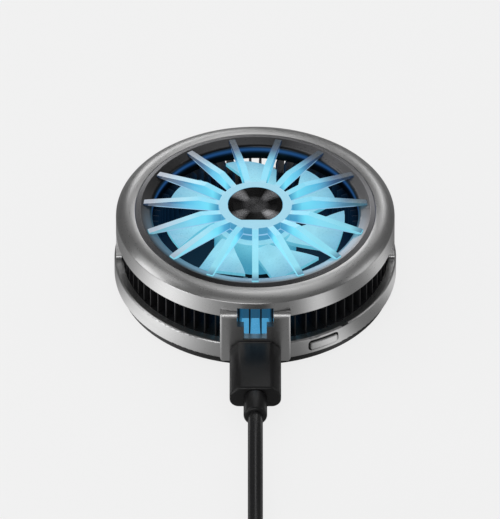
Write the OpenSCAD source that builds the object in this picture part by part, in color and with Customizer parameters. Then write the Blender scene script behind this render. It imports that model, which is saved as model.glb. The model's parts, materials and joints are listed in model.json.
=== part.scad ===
// Round magnetic phone cooler: a lit fan over a ring of radial fins, a thermoelectric plate under it,
// and a USB-C lead plugged in at the front.
// Millimetres, +Z up, resting on z = 0, with the port facing -Y.

/* [Housing] */
// Outer radius of the lower ring
shell_r = 33; // [29.5:0.25:37]
// Wall of the lower ring
shell_wall = 2; // [1.6:0.1:2.4]
// Height of the black base below the ring
base_h = 2.1; // [1.9:0.1:3]
// How far the base stands in from the ring
base_inset = 1; // [0.5:0.1:1.4]
// Height of the lower ring
ring_h = 4.8; // [4.6:0.1:6]
// Rounding of the lower ring's edges
ring_round = 0.5; // [0.2:0.05:0.8]
// Height of the open band between the rings
vent_h = 7.7; // [6:0.1:10]
// Clearance between pieces that fit together
fit_gap = 0.1; // [0.05:0.01:0.15]
// Angle of a side strut, back from the ring's widest point
strut_angle = 30; // [15:1:40]
// How far a side strut reaches forward of the widest point
strut_lead = 2; // [0:0.5:6]
// Thickness of a side strut
strut_t = 1.3; // [1:0.1:1.4]
// Rounding at the foot of a side strut
strut_foot = 1.4; // [0.5:0.1:2]
// Height of the tongue on a strut
tongue_h = 1; // [0.6:0.1:1.5]
// Thickness of the tongue on a strut
tongue_t = 0.5; // [0.4:0.05:0.6]

/* [Top ring] */
// How far the top ring stands in from the lower ring
band_inset = 0.4; // [0.2:0.1:0.8]
// Height of the top ring's upright band
band_h = 4.4; // [4:0.1:6]
// Wall of the upright band
band_wall = 1.3; // [1.1:0.1:1.4]
// Width of the domed crown
dome_w = 4.4; // [3.6:0.1:5]
// Rise of the crown from its outer ridge to its inner edge
dome_rise = 1.35; // [1:0.05:1.8]
// Radius of the crown's arc
dome_arc_r = 4.5; // [3.6:0.1:8]
// Rounding of the ridge between the crown and the band
ridge_round = 0.3; // [0.1:0.05:0.5]
// Thickness of the crown above the fins, at the ridge
deck_t = 1.4; // [1:0.1:1.8]
// Width of the ledge that carries the inlet ring
ledge_w = 2.2; // [1.5:0.1:2.6]
// Thickness of the ledge
ledge_t = 0.8; // [0.6:0.1:1.2]

/* [Inlet ring] */
// Width of the inlet ring's outer bevel
lip_w = 1.15; // [0.8:0.05:1.6]
// Rise of the bevel above the crown's inner edge
lip_rise = 0.35; // [0.1:0.05:0.8]
// Width of the inlet funnel
funnel_w = 2.8; // [2.4:0.1:3.4]
// Fall of the inlet funnel
funnel_drop = 0.5; // [0.2:0.05:0.8]
// Rounding of the duct's upper edge
duct_round = 0.8; // [0.4:0.1:1]
// How far the duct reaches down in front of the fins
duct_drop = 1.2; // [0.2:0.1:3]

/* [Grille] */
// Number of spokes
spokes = 15; // [9:1:21]
// Width of a spoke
spoke_w = 1.5; // [1:0.1:2]
// Outer radius of the grille's hub
hub_r = 8.6; // [8.2:0.1:9.4]
// Wall of the hub's skirt
skirt_wall = 1.2; // [0.8:0.1:1.3]
// Radius at which a spoke bends
bend_r = 13.3; // [11:0.1:16]
// Height of the bend above the inlet ring's crest
bend_rise = 2.2; // [1.6:0.1:3]
// Height of the hub above the inlet ring's crest
hub_rise = 1.45; // [1.2:0.05:2]
// Depth of a spoke's lower edge below the crest
spoke_drop = 0.8; // [0.5:0.05:1]
// Depth of the seats for the spokes' ends below the crest
seat_drop = 1.1; // [1:0.05:1.4]
// Distance of a spoke's tip from the crest
tip_inset = 0.75; // [0.5:0.05:1.2]
// Gap between a spoke and the funnel's inner rim
spoke_lift = 0.05; // [0.02:0.01:0.2]
// Depth of the hub's skirt
skirt_h = 3.85; // [3.6:0.05:4]
// Radius of the hub cap
cap_r = 6.4; // [5.8:0.1:6.7]
// Distance from the middle to the cap's flat side
cap_flat = 5.5; // [4.8:0.1:5.7]
// Thickness of the hub cap
cap_t = 0.9; // [0.6:0.05:1.1]
// Depth of the dish in the cap
cap_dish = 0.15; // [0.05:0.05:0.3]
// Floor under the cap
hub_floor = 0.35; // [0.3:0.05:0.6]
// Thickness of the light board under the hub
led_board_t = 0.8; // [0.6:0.1:1]
// Height of a light chip
led_h = 0.5; // [0.3:0.05:0.7]
// Width of a light chip
led_w = 1.6; // [1:0.1:2]
// Angle of the first light chip
led_turn = 30; // [0:5:60]
// Number of light chips
leds = 6; // [3:1:8]

/* [Fan] */
// Number of blades
blades = 7; // [5:1:9]
// Gap between the blade tips and the fins
fan_gap = 1.9; // [0.8:0.1:4]
// Outer radius of the fan's hub
fan_hub_r = 9.6; // [9.2:0.1:10.4]
// Wall of the fan's hub
fan_hub_wall = 1.2; // [1:0.1:1.4]
// Rounding of the fan hub's edges
fan_hub_round = 0.4; // [0.2:0.05:0.8]
// Gap between the fan's hub and the grille above it
fan_top_gap = 0.45; // [0.3:0.05:1]
// Gap between the fan's hub and the motor plate below it
fan_low_gap = 1.1; // [0.8:0.1:2]
// Thickness of a blade
blade_t = 0.9; // [0.6:0.05:1.2]
// Angle that a blade spans at its tip
blade_span = 33; // [24:1:38]
// Sweep of the leading edge from tip to hub
lead_sweep = 26; // [15:1:32]
// Sweep of the trailing edge from tip to hub
trail_sweep = 15; // [8:1:20]
// Rise of a blade from its trailing tip to its leading tip
blade_rise = 2.4; // [1.5:0.1:4]
// Height of a blade's leading tip over the hub's top
tip_over_hub = 0.6; // [-0.5:0.05:0.9]
// Radius of a blade's camber
camber_r = 24; // [16:0.5:40]

/* [Motor] */
// Radius of the fan's shaft
shaft_r = 1; // [0.8:0.05:1.2]
// Running clearance round the shaft
run_gap = 0.05; // [0.03:0.01:0.08]
// Wall of the bearing sleeve
sleeve_wall = 1.35; // [1:0.05:1.5]
// Wall of the bearing tube
tube_wall = 0.7; // [0.5:0.05:0.8]
// Thickness of the motor plate
motor_plate_t = 0.8; // [0.6:0.1:1.2]
// Radius of the motor plate
motor_plate_r = 8.4; // [7.5:0.1:9]
// Height of the bearing tube above the motor plate
tube_h = 6; // [5.5:0.1:6.4]
// Thickness of the thrust pad
thrust_t = 0.4; // [0.3:0.05:0.6]
// Height of the stator's stack
stator_h = 3; // [2.4:0.1:3.4]
// Height of the stator above the motor plate
stator_lift = 2.4; // [2.2:0.1:2.8]
// Number of stator poles
poles = 4; // [4:2:6]
// Share of the rim that the poles' shoes fill
shoe_share = 0.71; // [0.5:0.01:0.8]
// Air gap between the poles and the rotor's magnet
air_gap = 0.4; // [0.3:0.05:0.5]
// Wall of the rotor's magnet
magnet_wall = 0.9; // [0.7:0.05:1]
// Wall of the rotor's steel cup
yoke_wall = 0.6; // [0.4:0.05:0.7]

/* [Heatsink] */
// Number of fins
fins = 72; // [36:12:84]
// Thickness of a fin
fin_t = 0.3; // [0.2:0.05:0.7]
// Depth of a fin from its outer to its inner edge
fin_depth = 8.1; // [7:0.1:8.8]
// Thickness of the heatsink's floor
floor_t = 2; // [1.8:0.1:2.2]
// Depth of the floor below the lower ring's top edge
floor_drop = 0.2; // [0:0.05:0.3]

/* [Front bracket] */
// Width of the bracket
bracket_w = 16.5; // [15:0.1:19]
// How far the bracket stands out from the lower ring
bracket_out = 0.3; // [0.2:0.05:1]
// Thickness of the bracket
bracket_t = 1.7; // [1.4:0.1:2.2]
// How far the bracket laps over the top ring
bracket_lap = 2; // [1.5:0.1:2.8]
// Rounding of the bracket's upright edges
bracket_round = 0.6; // [0.3:0.05:0.8]
// Rounding of the bracket's top edge
bracket_top_round = 1.5; // [0.5:0.1:1.6]
// Height of the bracket's lower edge over the lower ring's
bracket_lift = 0.3; // [0:0.05:0.6]
// Rounding of the bracket's lower corners
bracket_corner = 0.8; // [0.3:0.1:1.5]
// Width of the upper window
window_w = 8.5; // [6:0.1:10]
// Width of the lower window
window_low_w = 5.3; // [3:0.1:5.8]
// Height of the lower window's sill above the lower ring
sill_h = 2.3; // [2:0.1:3.5]
// Height of the lower window
window_low_h = 3.5; // [2:0.1:4]
// Height of the notch in the top ring above its lower edge
notch_h = 2.9; // [2.7:0.05:2.95]

/* [Button] */
// Angle of the button to the right of the front
button_angle = 29; // [24:0.5:36]
// Width of the button's slot
slot_w = 8; // [6:0.1:8.4]
// Height of the button's slot
slot_h = 3; // [2.4:0.1:3]
// Rounding of the slot's corners
slot_round = 1; // [0.6:0.05:1.15]
// Gap round the button in its slot
button_gap = 0.45; // [0.2:0.05:0.5]
// How far the button's face stands out from the ring's face
button_out = 0.4; // [0:0.05:0.6]
// Travel of the button
button_travel = 0.4; // [0.2:0.05:0.5]
// Width of the button's stop on each side
button_stop = 0.8; // [0.6:0.1:1]
// Thickness of the button's stop
button_stop_t = 0.6; // [0.4:0.05:0.8]
// Width of the notch in the ring's top edge
ring_notch_w = 2; // [1.5:0.1:4]
// Depth of that notch
ring_notch_h = 0.3; // [0.2:0.1:1.2]
// Angle of that notch to the right of the front
ring_notch_angle = 39.5; // [38:0.5:44]

/* [Port and plug] */
// Width of the socket
socket_w = 8.94; // [8.94:0.01:9.2]
// Height of the socket
socket_h = 3.26; // [3.16:0.01:3.3]
// Length of the socket
socket_len = 7.3; // [6.8:0.1:7.4]
// Wall of the socket
socket_wall = 0.3; // [0.25:0.01:0.32]
// Width of the plug's metal shell
plug_shell_w = 8.2; // [8.1:0.01:8.2]
// Height of the plug's metal shell
plug_shell_h = 2.4; // [2.35:0.01:2.42]
// Length of the plug's metal shell
plug_shell_len = 6.5; // [6:0.1:6.6]
// Wall of the plug's metal shell
plug_shell_wall = 0.3; // [0.2:0.01:0.35]
// Width of the plug's moulded body
plug_w = 12; // [11:0.1:12.3]
// Height of the plug's moulded body
plug_h = 6; // [5.4:0.1:6.4]
// Width of the bevels along the plug
plug_bevel = 2.1; // [1:0.1:2.6]
// Length of the plug's moulded body
plug_len = 17.1; // [14:0.1:20]
// Diameter of the plug's collar
collar_d = 5.5; // [4.6:0.1:5.8]
// Length of the plug's collar
collar_len = 7; // [4:0.1:9]
// Thickness of the lit window plate over the socket
lens_t = 0.5; // [0.4:0.05:0.7]
// How far that plate reaches in past the socket
lens_reach = 0.9; // [0:0.1:1.5]

/* [Cooling stack] */
// Thickness of the soft pad under the base
pad_t = 0.6; // [0.4:0.05:0.8]
// How far the soft pad stands in from the base's edge
pad_inset = 0.1; // [0:0.1:1]
// Gap between the soft pad and the cold plate
pad_gap = 0.8; // [0.2:0.1:2]
// Width of the base's rim round the cold plate
rim_w = 11; // [10.8:0.1:11.8]
// Width of the cold plate's flange
plate_flange = 1.4; // [1:0.1:1.5]
// Thickness of the cold plate
plate_t = 1.6; // [1.4:0.05:1.8]
// Thickness of the cold plate's flange
flange_t = 0.4; // [0.3:0.05:0.6]
// Distance of the foam's corners from the cold plate's edge
tile_margin = 0.48; // [0.2:0.02:4]
// Thickness of a ceramic face
ceramic_t = 0.7; // [0.5:0.05:0.8]
// Number of pellets along one side
pellets = 6; // [4:1:8]
// Width of a pellet
pellet_w = 2.2; // [1:0.1:2.4]
// Width of the foam frame round the tile
foam_w = 2; // [1:0.1:2.2]
// Number of holding magnets
magnet_count = 16; // [8:2:20]
// Radial width of a holding magnet
magnet_w = 4.3; // [3:0.1:4.4]
// Thickness of a holding magnet
magnet_t = 1.5; // [1.2:0.05:1.5]
// Gap between neighbouring magnets
magnet_gap = 0.8; // [0.5:0.1:1.5]
// Floor under the magnets
magnet_floor = 0.4; // [0.3:0.05:0.5]
// Thickness of the magnets' steel backing
backing_t = 0.4; // [0.3:0.05:0.5]
// Angle that the control board spans
board_angle = 100; // [90:1:110]
// Side of a chip on the control board
chip_w = 3; // [2:0.1:3.2]
// Height of a chip on the control board
chip_h = 0.5; // [0.3:0.05:0.6]
// Distance of the chips from the board's inner edge
chip_inset = 0.8; // [0.4:0.1:1]
// Number of case screws
screws = 4; // [4:1:4]
// Radius of a screw's shank
screw_r = 0.8; // [0.6:0.05:0.9]
// Radius of a screw's head
screw_head_r = 1.5; // [1.2:0.05:1.6]
// Height of a screw's head
screw_head_h = 0.7; // [0.5:0.05:0.8]
// Depth that a screw reaches into the ring
screw_bite = 1.8; // [1.2:0.1:2.2]

/* [Lead] */
// Diameter of the lead
cord_d = 3.5; // [3.2:0.1:3.5]
// Turns in the put-away coil
coil_turns = 7; // [3:1:7]
// Step between neighbouring turns of the coil
coil_step = 3.95; // [3.95:0.05:4.4]
// Radius of the coil's outer turn
coil_r = 27.4; // [25:0.1:32]
// Width of the tie round the coil
tie_w = 5; // [3:0.5:5]
// Thickness of the tie
tie_t = 0.45; // [0.3:0.05:0.45]
// Width of the far plug's moulded body
far_w = 15.6; // [14:0.1:15.8]
// Height of the far plug's moulded body
far_h = 7.4; // [6.5:0.1:7.4]
// Rounding of the far plug's long edges
far_round = 1; // [0.5:0.1:2]
// Length of the far plug's moulded body
far_len = 20; // [16:0.5:24]
// Length of the far plug's collar
far_collar_len = 3; // [2:0.5:5]
// Diameter of the far plug's collar
far_collar_d = 5.5; // [4.6:0.1:6]
// Width of the far plug's metal shell
far_shell_w = 12; // [11.9:0.05:12.1]
// Height of the far plug's metal shell
far_shell_h = 4.5; // [4.4:0.05:4.6]
// Length of the far plug's metal shell
far_shell_len = 12; // [11:0.5:18]
// Wall of the far plug's metal shell
far_shell_wall = 0.3; // [0.2:0.05:0.4]

/* [Hidden] */
round_fn = 96;
over = 1; // how far a cut runs past the face it opens

// Heights from the surface up
ring_low = base_h;
ring_top = base_h + ring_h;
band_low = ring_top + vent_h;
ridge_z = band_low + band_h;
deck_z = ridge_z - deck_t;
crown_in_z = ridge_z + dome_rise;
crest_z = crown_in_z + lip_rise;
funnel_z = crest_z - funnel_drop;
seat_z = crest_z - seat_drop;
duct_low = deck_z - duct_drop;
spoke_low = crest_z - spoke_drop;
hub_top = crest_z + hub_rise;
hub_round = 0.3;
spoke_step = 0.1;
cap_rim = 0.3;
bend_z = crest_z + bend_rise;
skirt_low = hub_top - skirt_h;
cap_low = hub_top - cap_t;
hub_floor_low = cap_low - hub_floor;
led_board_low = hub_floor_low - led_board_t;
floor_top = ring_top - floor_drop;
floor_low = floor_top - floor_t;

// Radii of the housing
shell_in_r = shell_r - shell_wall;
base_r = shell_r - base_inset;
band_r = shell_r - band_inset;
band_in_r = band_r - band_wall;
dome_in_r = band_r - dome_w;
ledge_r = dome_in_r - ledge_w;
inlet_r = dome_in_r - fit_gap;
crest_r = inlet_r - lip_w;
duct_r = crest_r - funnel_w;
tip_r = crest_r - tip_inset;
skirt_in_r = hub_r - skirt_wall;
spoke_root_r = skirt_in_r + skirt_wall / 3;
sink_r = shell_in_r - fit_gap;
fin_in_r = sink_r - fin_depth;
fan_r = fin_in_r - fan_gap;
seat_in_r = duct_r + duct_round + fit_gap;
plate_r = base_r - rim_w;

// The crown's arc runs through the ridge and the crown's inner edge.
crown_chord = norm([dome_w, dome_rise]);
crown_reach = sqrt(dome_arc_r * dome_arc_r - crown_chord * crown_chord / 4);
crown_x = (band_r + dome_in_r) / 2 - crown_reach * dome_rise / crown_chord;
crown_z = (ridge_z + crown_in_z) / 2 - crown_reach * dome_w / crown_chord;

// The ridge's rounding touches the crown's arc and the band.
ridge_x = band_r - ridge_round;
ridge_mid_z = crown_z + sqrt(pow(dome_arc_r - ridge_round, 2) - pow(ridge_x - crown_x, 2));
ridge_slope = (ridge_mid_z - crown_z) / (ridge_x - crown_x);

// Tongue on a strut, in the middle of the band's wall, and the angles by which it and its groove stop short
tongue_r = band_r - band_wall / 2;
tongue_end = 1.5;
groove_end = 1;

// Motor and rotor
motor_z = floor_top + motor_plate_t;
fan_top = skirt_low - fan_top_gap;
fan_low = motor_z + fan_low_gap;
sleeve_r = shaft_r + run_gap + sleeve_wall;
tube_in_r = sleeve_r + run_gap;
tube_r = tube_in_r + tube_wall;
thrust_top = motor_z + thrust_t;
yoke_r = fan_hub_r - fan_hub_wall - fit_gap / 2;
magnet_r = yoke_r - yoke_wall - fit_gap / 2;
magnet_in_r = magnet_r - magnet_wall;
pole_r = magnet_in_r - air_gap;
core_r = tube_r + fit_gap / 2;
core_wall = 0.8;
shoe_t = 0.8;
arm_w = 1.4;
coil_over = 0.8;
coil_gap = 0.2;
sleeve_inset = 0.2;
pole_turn = 45;
stator_z = motor_z + stator_lift;
hub_top_t = fan_hub_wall;
rotor_top = fan_top - hub_top_t - fit_gap / 2;
shaft_bite = 0.7;

// A blade is cut from a shell of constant camber whose axis points outward.
sweep_curve = 0.65;
blade_turn = 263.5;
blade_tip_z = fan_top + tip_over_hub;
half_chord = fan_r * sin(blade_span / 2);
blade_pitch = atan2(blade_rise, 2 * half_chord);
half_blade = half_chord / cos(blade_pitch);
camber_reach = sqrt(camber_r * camber_r - half_blade * half_blade);
camber_y = camber_reach * sin(blade_pitch);
camber_z = blade_tip_z - blade_rise / 2 - camber_reach * cos(blade_pitch);

// Front bracket and its window
front_y = -(shell_r + bracket_out);
bracket_top = band_low + bracket_lap;
sill_z = ring_top + sill_h;
window_step_z = sill_z + window_low_h;
notch_top = band_low + notch_h;

// Port: the board lies on the magnets' backing and carries the socket.
backing_low = pad_t + magnet_floor + magnet_t;
board_low = backing_low + backing_t;
board_gap = 0.7;
board_top = floor_low - board_gap;
port_z = board_top + socket_h / 2;
socket_inset = 0.6;
socket_front = shell_r - socket_inset;
socket_back = socket_front - socket_len;
lens_low = port_z + socket_h / 2;
lens_top = lens_low + lens_t;
lens_half = socket_w / 2 + socket_inset;
pocket_gap = 0.15;
tongue_half = 3.35;
socket_tongue_t = 0.7;
socket_back_t = 1;
socket_tongue_inset = 1.2;

// Button and its switch
button_az = 270 + button_angle;
button_lift = 0.55;
button_z = board_top + button_lift;
button_face_r = shell_r + button_out;
stop_out_r = sqrt(shell_in_r * shell_in_r - pow(slot_w / 2 + button_stop, 2)) - fit_gap;
stop_in_r = stop_out_r - button_stop_t;
stop_h = slot_h - 2 * fit_gap;
plunger_w = 1.6;
plunger_h = 0.8;
plunger_reach = 1;
switch_w = 4.4;
switch_h = 1.5;
switch_depth = 2.6;
switch_gap = 0.3;
switch_front = stop_in_r - button_travel - switch_gap;
switch_pocket_w = slot_w + 2 * (button_stop + switch_gap);
switch_pocket_in = switch_front - switch_depth - switch_gap - fit_gap;

// Base, magnets and flange of the lower ring
magnet_side = 0.5;
magnet_land = 0.8;
flange_r = plate_r + plate_flange + fit_gap + magnet_w + magnet_land + magnet_side;
magnet_out = flange_r - magnet_side;
magnet_in = magnet_out - magnet_w;
plate_step = plate_t - flange_t;
screw_pos = (flange_r + shell_in_r) / 2;
board_in = magnet_in;
board_out = flange_r - 2 * fit_gap;
chip_turns = [238, 247, 312];
screw_turn = 45;
board_mid = 275;
tile_low = plate_t;
pellet_low = tile_low + ceramic_t;
pellet_top = floor_low - ceramic_t;
foam_out = (plate_r + plate_flange - tile_margin) / sqrt(2);
tile_w = 2 * (foam_out - foam_w);
lead_x = 3.5;
lead_r = 0.4;
lead_bite = 0.6;
fan_lead_az = 255;
fan_lead_w = 1;
fan_lead_t = 0.3;
fan_lead_out = 0.9;
fan_lead_r = fin_in_r + fan_lead_out;

// Route of the lead from the collar to the coil, and from the coil to the far plug
lead_y = front_y - fit_gap - plug_len - collar_len;
lead_run = 67.5;
coil_z = 2.3;
lead_points = [for (w = [[0, 0], [3.5, 0], [10.5, 0.16], [18.5, 0.49], [26.5, 0.79], [34.5, 0.94],
                         [42.5, 1], [50.5, 1], [59.5, 1], [lead_run, 1]])
               [0, lead_y - w[0], port_z + w[1] * (coil_z - port_z)]];
coil_centre = [coil_r, lead_y - lead_run - cord_d];
tail_points = [for (d = [[0, 0, 0], [0, 2, 0], [0.9, 6.6, 1.15], [3.5, 10.5, 2.75], [7.4, 13.1, 4.35],
                         [12, 14, 5.35], [14, 14, 5.55], [17, 14, 5.55]])
               [d[0], coil_centre[1] - cord_d - d[1], coil_z + coil_step + d[2]]];
coil_rings = 24;
coil_in_r = coil_r - coil_step * coil_turns / 2;
tie_play = 0.3;

// Points along the coil: straight for one diameter, in, up a layer as the spiral turns back, and out again.
function coil_height(t) = coil_z + coil_step * min(1, max(0, (t - coil_turns / 2 + 0.25) / 0.5));
function coil_radius(t) = coil_in_r + coil_step * abs(t - coil_turns / 2);
function coil_point(t) = [coil_centre[0] + coil_radius(t) * cos(180 + 360 * t),
                          coil_centre[1] + coil_radius(t) * sin(180 + 360 * t), coil_height(t)];
coil_spiral = [for (i = [0 : coil_rings * coil_turns]) coil_point(i / coil_rings)];
coil_path = concat([coil_spiral[0] + [0, cord_d, 0]], coil_spiral,
                   [coil_spiral[len(coil_spiral) - 1] - [0, cord_d, 0]]);
coil_least = min([for (i = [0 : len(coil_spiral) - 1]) for (j = [i + coil_rings / 2 : len(coil_spiral) - 1])
                  if (j < len(coil_spiral)) norm(coil_spiral[i] - coil_spiral[j])]) - cord_d;
function path_len(p) = len(p) < 2 ? 0 : let (d = [for (i = [1 : len(p) - 1]) norm(p[i] - p[i - 1])])
    d * [for (x = d) 1];
echo(coil_least_gap = coil_least,
     lead_length = path_len(lead_points) + path_len(coil_path) + path_len(tail_points));

far_start = tail_points[len(tail_points) - 1];
far_body_x = far_start[0] + far_collar_len;
far_tongue_t = 1.8;
far_tongue_inset = 1;

// Helpers
module turned() rotate_extrude($fn = round_fn) children();
module bar2d(x0, y0, x1, y1) translate([x0, y0]) square([x1 - x0, y1 - y0]);

// A bar whose two outer corners are rounded
module soft_bar2d(x0, y0, x1, y1, r) {
    bar2d(x0, y0, x1 - r, y1);
    bar2d(x0, y0 + r, x1, y1 - r);
    for (y = [y0 + r, y1 - r]) translate([x1 - r, y]) circle(r, $fn = 32);
}

// A slot with round ends, along X
module slot2d(w, h) {
    square([w - h, h], center = true);
    for (s = [-1, 1]) translate([s * (w - h) / 2, 0]) circle(h / 2, $fn = 48);
}

// A bar with four rounded corners, about its middle
module soft_rect2d(w, h, r) {
    square([w - 2 * r, h], center = true);
    square([w, h - 2 * r], center = true);
    for (x = [-1, 1]) for (y = [-1, 1]) translate([x * (w / 2 - r), y * (h / 2 - r)]) circle(r, $fn = 32);
}

// A bar with four bevelled corners, about its middle
module bevel_rect2d(w, h, b) polygon([
    [w / 2, h / 2 - b], [w / 2 - b, h / 2], [b - w / 2, h / 2], [-w / 2, h / 2 - b],
    [-w / 2, b - h / 2], [b - w / 2, -h / 2], [w / 2 - b, -h / 2], [w / 2, b - h / 2]]);

// Part of a ring between two angles less than half a turn apart
module sector2d(r0, r1, a0, a1) {
    far = 2 * r1;
    intersection() {
        difference() {
            circle(r1, $fn = round_fn);
            circle(r0, $fn = round_fn);
        }
        polygon([[0, 0], far * [cos(a0), sin(a0)], 2 * far * [cos((a0 + a1) / 2), sin((a0 + a1) / 2)],
                 far * [cos(a1), sin(a1)]]);
    }
}

// Lays a drawing out so that its X is Y, its Y is Z and it is pulled along X
module along_x(x0, length) translate([x0, 0, 0]) rotate([90, 0, 90]) linear_extrude(length) children();

// Lays a drawing out so that its Y is Z and it is pulled toward -Y from the given place
module along_front(y0, length) translate([0, y0, 0]) rotate([90, 0, 0]) linear_extrude(length) children();

// A disc with one flat side toward the front
module flat_disc2d(r, flat) intersection() {
    circle(r, $fn = round_fn);
    bar2d(-r - over, -flat, r + over, r + over);
}

// A tube along points, from a ring of corners at each point
function tube_heading(p, i) = let (a = p[max(0, i - 1)], b = p[min(len(p) - 1, i + 1)]) (b - a) / norm(b - a);
module tube(p, d, sides) {
    n = len(p);
    rings = [for (i = [0 : n - 1]) let (t = tube_heading(p, i), side = cross(t, [0, 0, 1]),
             s = side / norm(side), u = cross(s, t)) for (k = [0 : sides - 1])
             let (a = 360 * (k + 0.5) / sides)
             p[i] + d / 2 * (cos(a) * s + sin(a) * u)];
    function at(i, k) = i * sides + k % sides;
    walls = [for (i = [0 : n - 2]) for (k = [0 : sides - 1]) each
             [[at(i, k), at(i, k + 1), at(i + 1, k)], [at(i, k + 1), at(i + 1, k + 1), at(i + 1, k)]]];
    ends = [for (k = [1 : sides - 2]) each [[at(0, 0), at(0, k + 1), at(0, k)],
            [at(n - 1, 0), at(n - 1, k), at(n - 1, k + 1)]]];
    polyhedron(points = rings, faces = concat(walls, ends));
}

// Places copies round the axis
module around(n, start = 0) for (i = [0 : n - 1]) rotate([0, 0, start + 360 * i / n]) children();

// Top of the housing
module top_ring() color("silver") difference() {
    turned() {
        difference() {
            intersection() {
                translate([crown_x, crown_z]) circle(dome_arc_r, $fn = round_fn);
                bar2d(dome_in_r, deck_z, band_r, crest_z + over);
            }
            polygon([[ridge_x, ridge_mid_z], [ridge_x + over, ridge_mid_z],
                     [ridge_x + over, ridge_mid_z + over * ridge_slope]]);
        }
        translate([ridge_x, ridge_mid_z]) circle(ridge_round, $fn = 32);
        bar2d(band_in_r, band_low, band_r, deck_z + over / 2);
        bar2d(ledge_r, deck_z, dome_in_r + over, deck_z + ledge_t);
    }
    translate([-window_w / 2, -band_r - over, band_low - over])
        cube([window_w, band_wall + 2 * over, notch_top - band_low + over]);
    for (side = [0, 1]) mirror([side, 0, 0]) translate([0, 0, band_low - over])
        linear_extrude(tongue_h + fit_gap + over)
            sector2d(tongue_r - tongue_t / 2 - fit_gap, tongue_r + tongue_t / 2 + fit_gap,
                     -strut_lead + groove_end, strut_angle - groove_end);
}

module inlet_ring() color("dimgray") difference() {
    turned() {
        polygon([[inlet_r, deck_z + ledge_t], [inlet_r, crown_in_z], [crest_r, crest_z],
                 [duct_r + duct_round, funnel_z], [duct_r + duct_round, deck_z],
                 [ledge_r - fit_gap, deck_z], [ledge_r - fit_gap, deck_z + ledge_t]]);
        translate([duct_r + duct_round, funnel_z - duct_round]) circle(duct_round, $fn = 48);
        bar2d(duct_r, duct_low, duct_r + duct_round, funnel_z - duct_round);
    }
    around(spokes, 270) translate([seat_in_r, -spoke_w / 2 - fit_gap / 2, seat_z])
        cube([tip_r + fit_gap - seat_in_r, spoke_w + fit_gap, crest_z - seat_z + over]);
}

// Grille: bent spokes from a flat-sided hub into seats in the inlet ring
module spoke2d() polygon([
    [spoke_root_r, spoke_low], [spoke_root_r, hub_top - hub_round], [hub_r, hub_top - spoke_step],
    [bend_r, bend_z], [tip_r, crest_z + spoke_step], [tip_r, seat_z], [seat_in_r + fit_gap, seat_z],
    [seat_in_r + fit_gap, funnel_z + spoke_lift]]);

module light_grille() color("lightskyblue") difference() {
    union() {
        around(spokes, 270) rotate([90, 0, 0]) translate([0, 0, -spoke_w / 2])
            linear_extrude(spoke_w) spoke2d();
        turned() {
            bar2d(skirt_in_r, skirt_low, hub_r, hub_top - hub_round);
            soft_bar2d(0, hub_floor_low, hub_r, hub_top, hub_round);
        }
    }
    translate([0, 0, cap_low]) linear_extrude(cap_t + over) flat_disc2d(cap_r + fit_gap, cap_flat + fit_gap);
}

module hub_cap() color("black") difference() {
    translate([0, 0, cap_low]) linear_extrude(cap_t) flat_disc2d(cap_r, cap_flat);
    turned() polygon([[0, hub_top - cap_dish], [cap_r / 2, hub_top - cap_dish], [cap_flat - cap_rim, hub_top],
                      [cap_flat - cap_rim, hub_top + over], [0, hub_top + over]]);
}

module led_board() color("white") translate([0, 0, led_board_low])
    cylinder(h = led_board_t, r = skirt_in_r - fit_gap, $fn = round_fn);

module led_chips() color("khaki") around(leds, led_turn)
    translate([skirt_in_r - 1.5 * led_w, -led_w / 2, led_board_low - led_h])
        cube([0.75 * led_w, led_w, led_h]);

// Fan: the blades sweep forward to a pointed leading tip
function sweep_at(u) = u * (1 - sweep_curve) + u * u * sweep_curve;
function blade_edge(u, turn) = (fan_r - u * (fan_r - fan_hub_r)) * [cos(turn), sin(turn)];
blade_steps = 8;
blade_root = 1 + 0.5 * fan_hub_wall / (fan_r - fan_hub_r);
module blade_plan2d() polygon(concat(
    [for (i = [0 : blade_steps]) let (u = blade_root * (1 - i / blade_steps))
        blade_edge(u, -lead_sweep * sweep_at(u))],
    [for (i = [1 : blade_steps - 1])
        1.1 * fan_r * [cos(-blade_span * i / blade_steps), sin(-blade_span * i / blade_steps)]],
    [for (i = [0 : blade_steps]) let (u = blade_root * i / blade_steps)
        blade_edge(u, -blade_span - trail_sweep * sweep_at(u))]));

module blade() intersection() {
    linear_extrude(blade_tip_z + over) intersection() {
        blade_plan2d();
        circle(fan_r, $fn = round_fn);
    }
    rotate([0, 0, -blade_span / 2]) translate([0, camber_y, camber_z]) rotate([0, 90, 0]) difference() {
        cylinder(h = fan_r + over, r = camber_r, $fn = round_fn);
        translate([0, 0, -over]) cylinder(h = fan_r + 3 * over, r = camber_r - blade_t, $fn = round_fn);
    }
}

module impeller() color("paleturquoise") difference() {
    union() {
        turned() soft_bar2d(0, fan_low, fan_hub_r, fan_top, fan_hub_round);
        around(blades, blade_turn) blade();
    }
    translate([0, 0, fan_low - over]) cylinder(h = fan_top - hub_top_t - fan_low + over,
                                               r = fan_hub_r - fan_hub_wall, $fn = round_fn);
    cylinder(h = rotor_top + shaft_bite + fit_gap, r = shaft_r + run_gap, $fn = 48);
}

module rotor_yoke() color("gray") difference() {
    translate([0, 0, fan_low]) cylinder(h = rotor_top - fan_low, r = yoke_r, $fn = round_fn);
    translate([0, 0, fan_low - over])
        cylinder(h = rotor_top - yoke_wall - fan_low + over, r = yoke_r - yoke_wall,
                                               $fn = round_fn);
    translate([0, 0, fan_low]) cylinder(h = rotor_top, r = shaft_r + run_gap, $fn = 48);
}

module rotor_magnet() color("darkslategray") translate([0, 0, fan_low]) difference() {
    cylinder(h = rotor_top - yoke_wall - fan_low - fit_gap / 2, r = magnet_r, $fn = round_fn);
    translate([0, 0, -over]) cylinder(h = rotor_top, r = magnet_in_r, $fn = round_fn);
}

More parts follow.
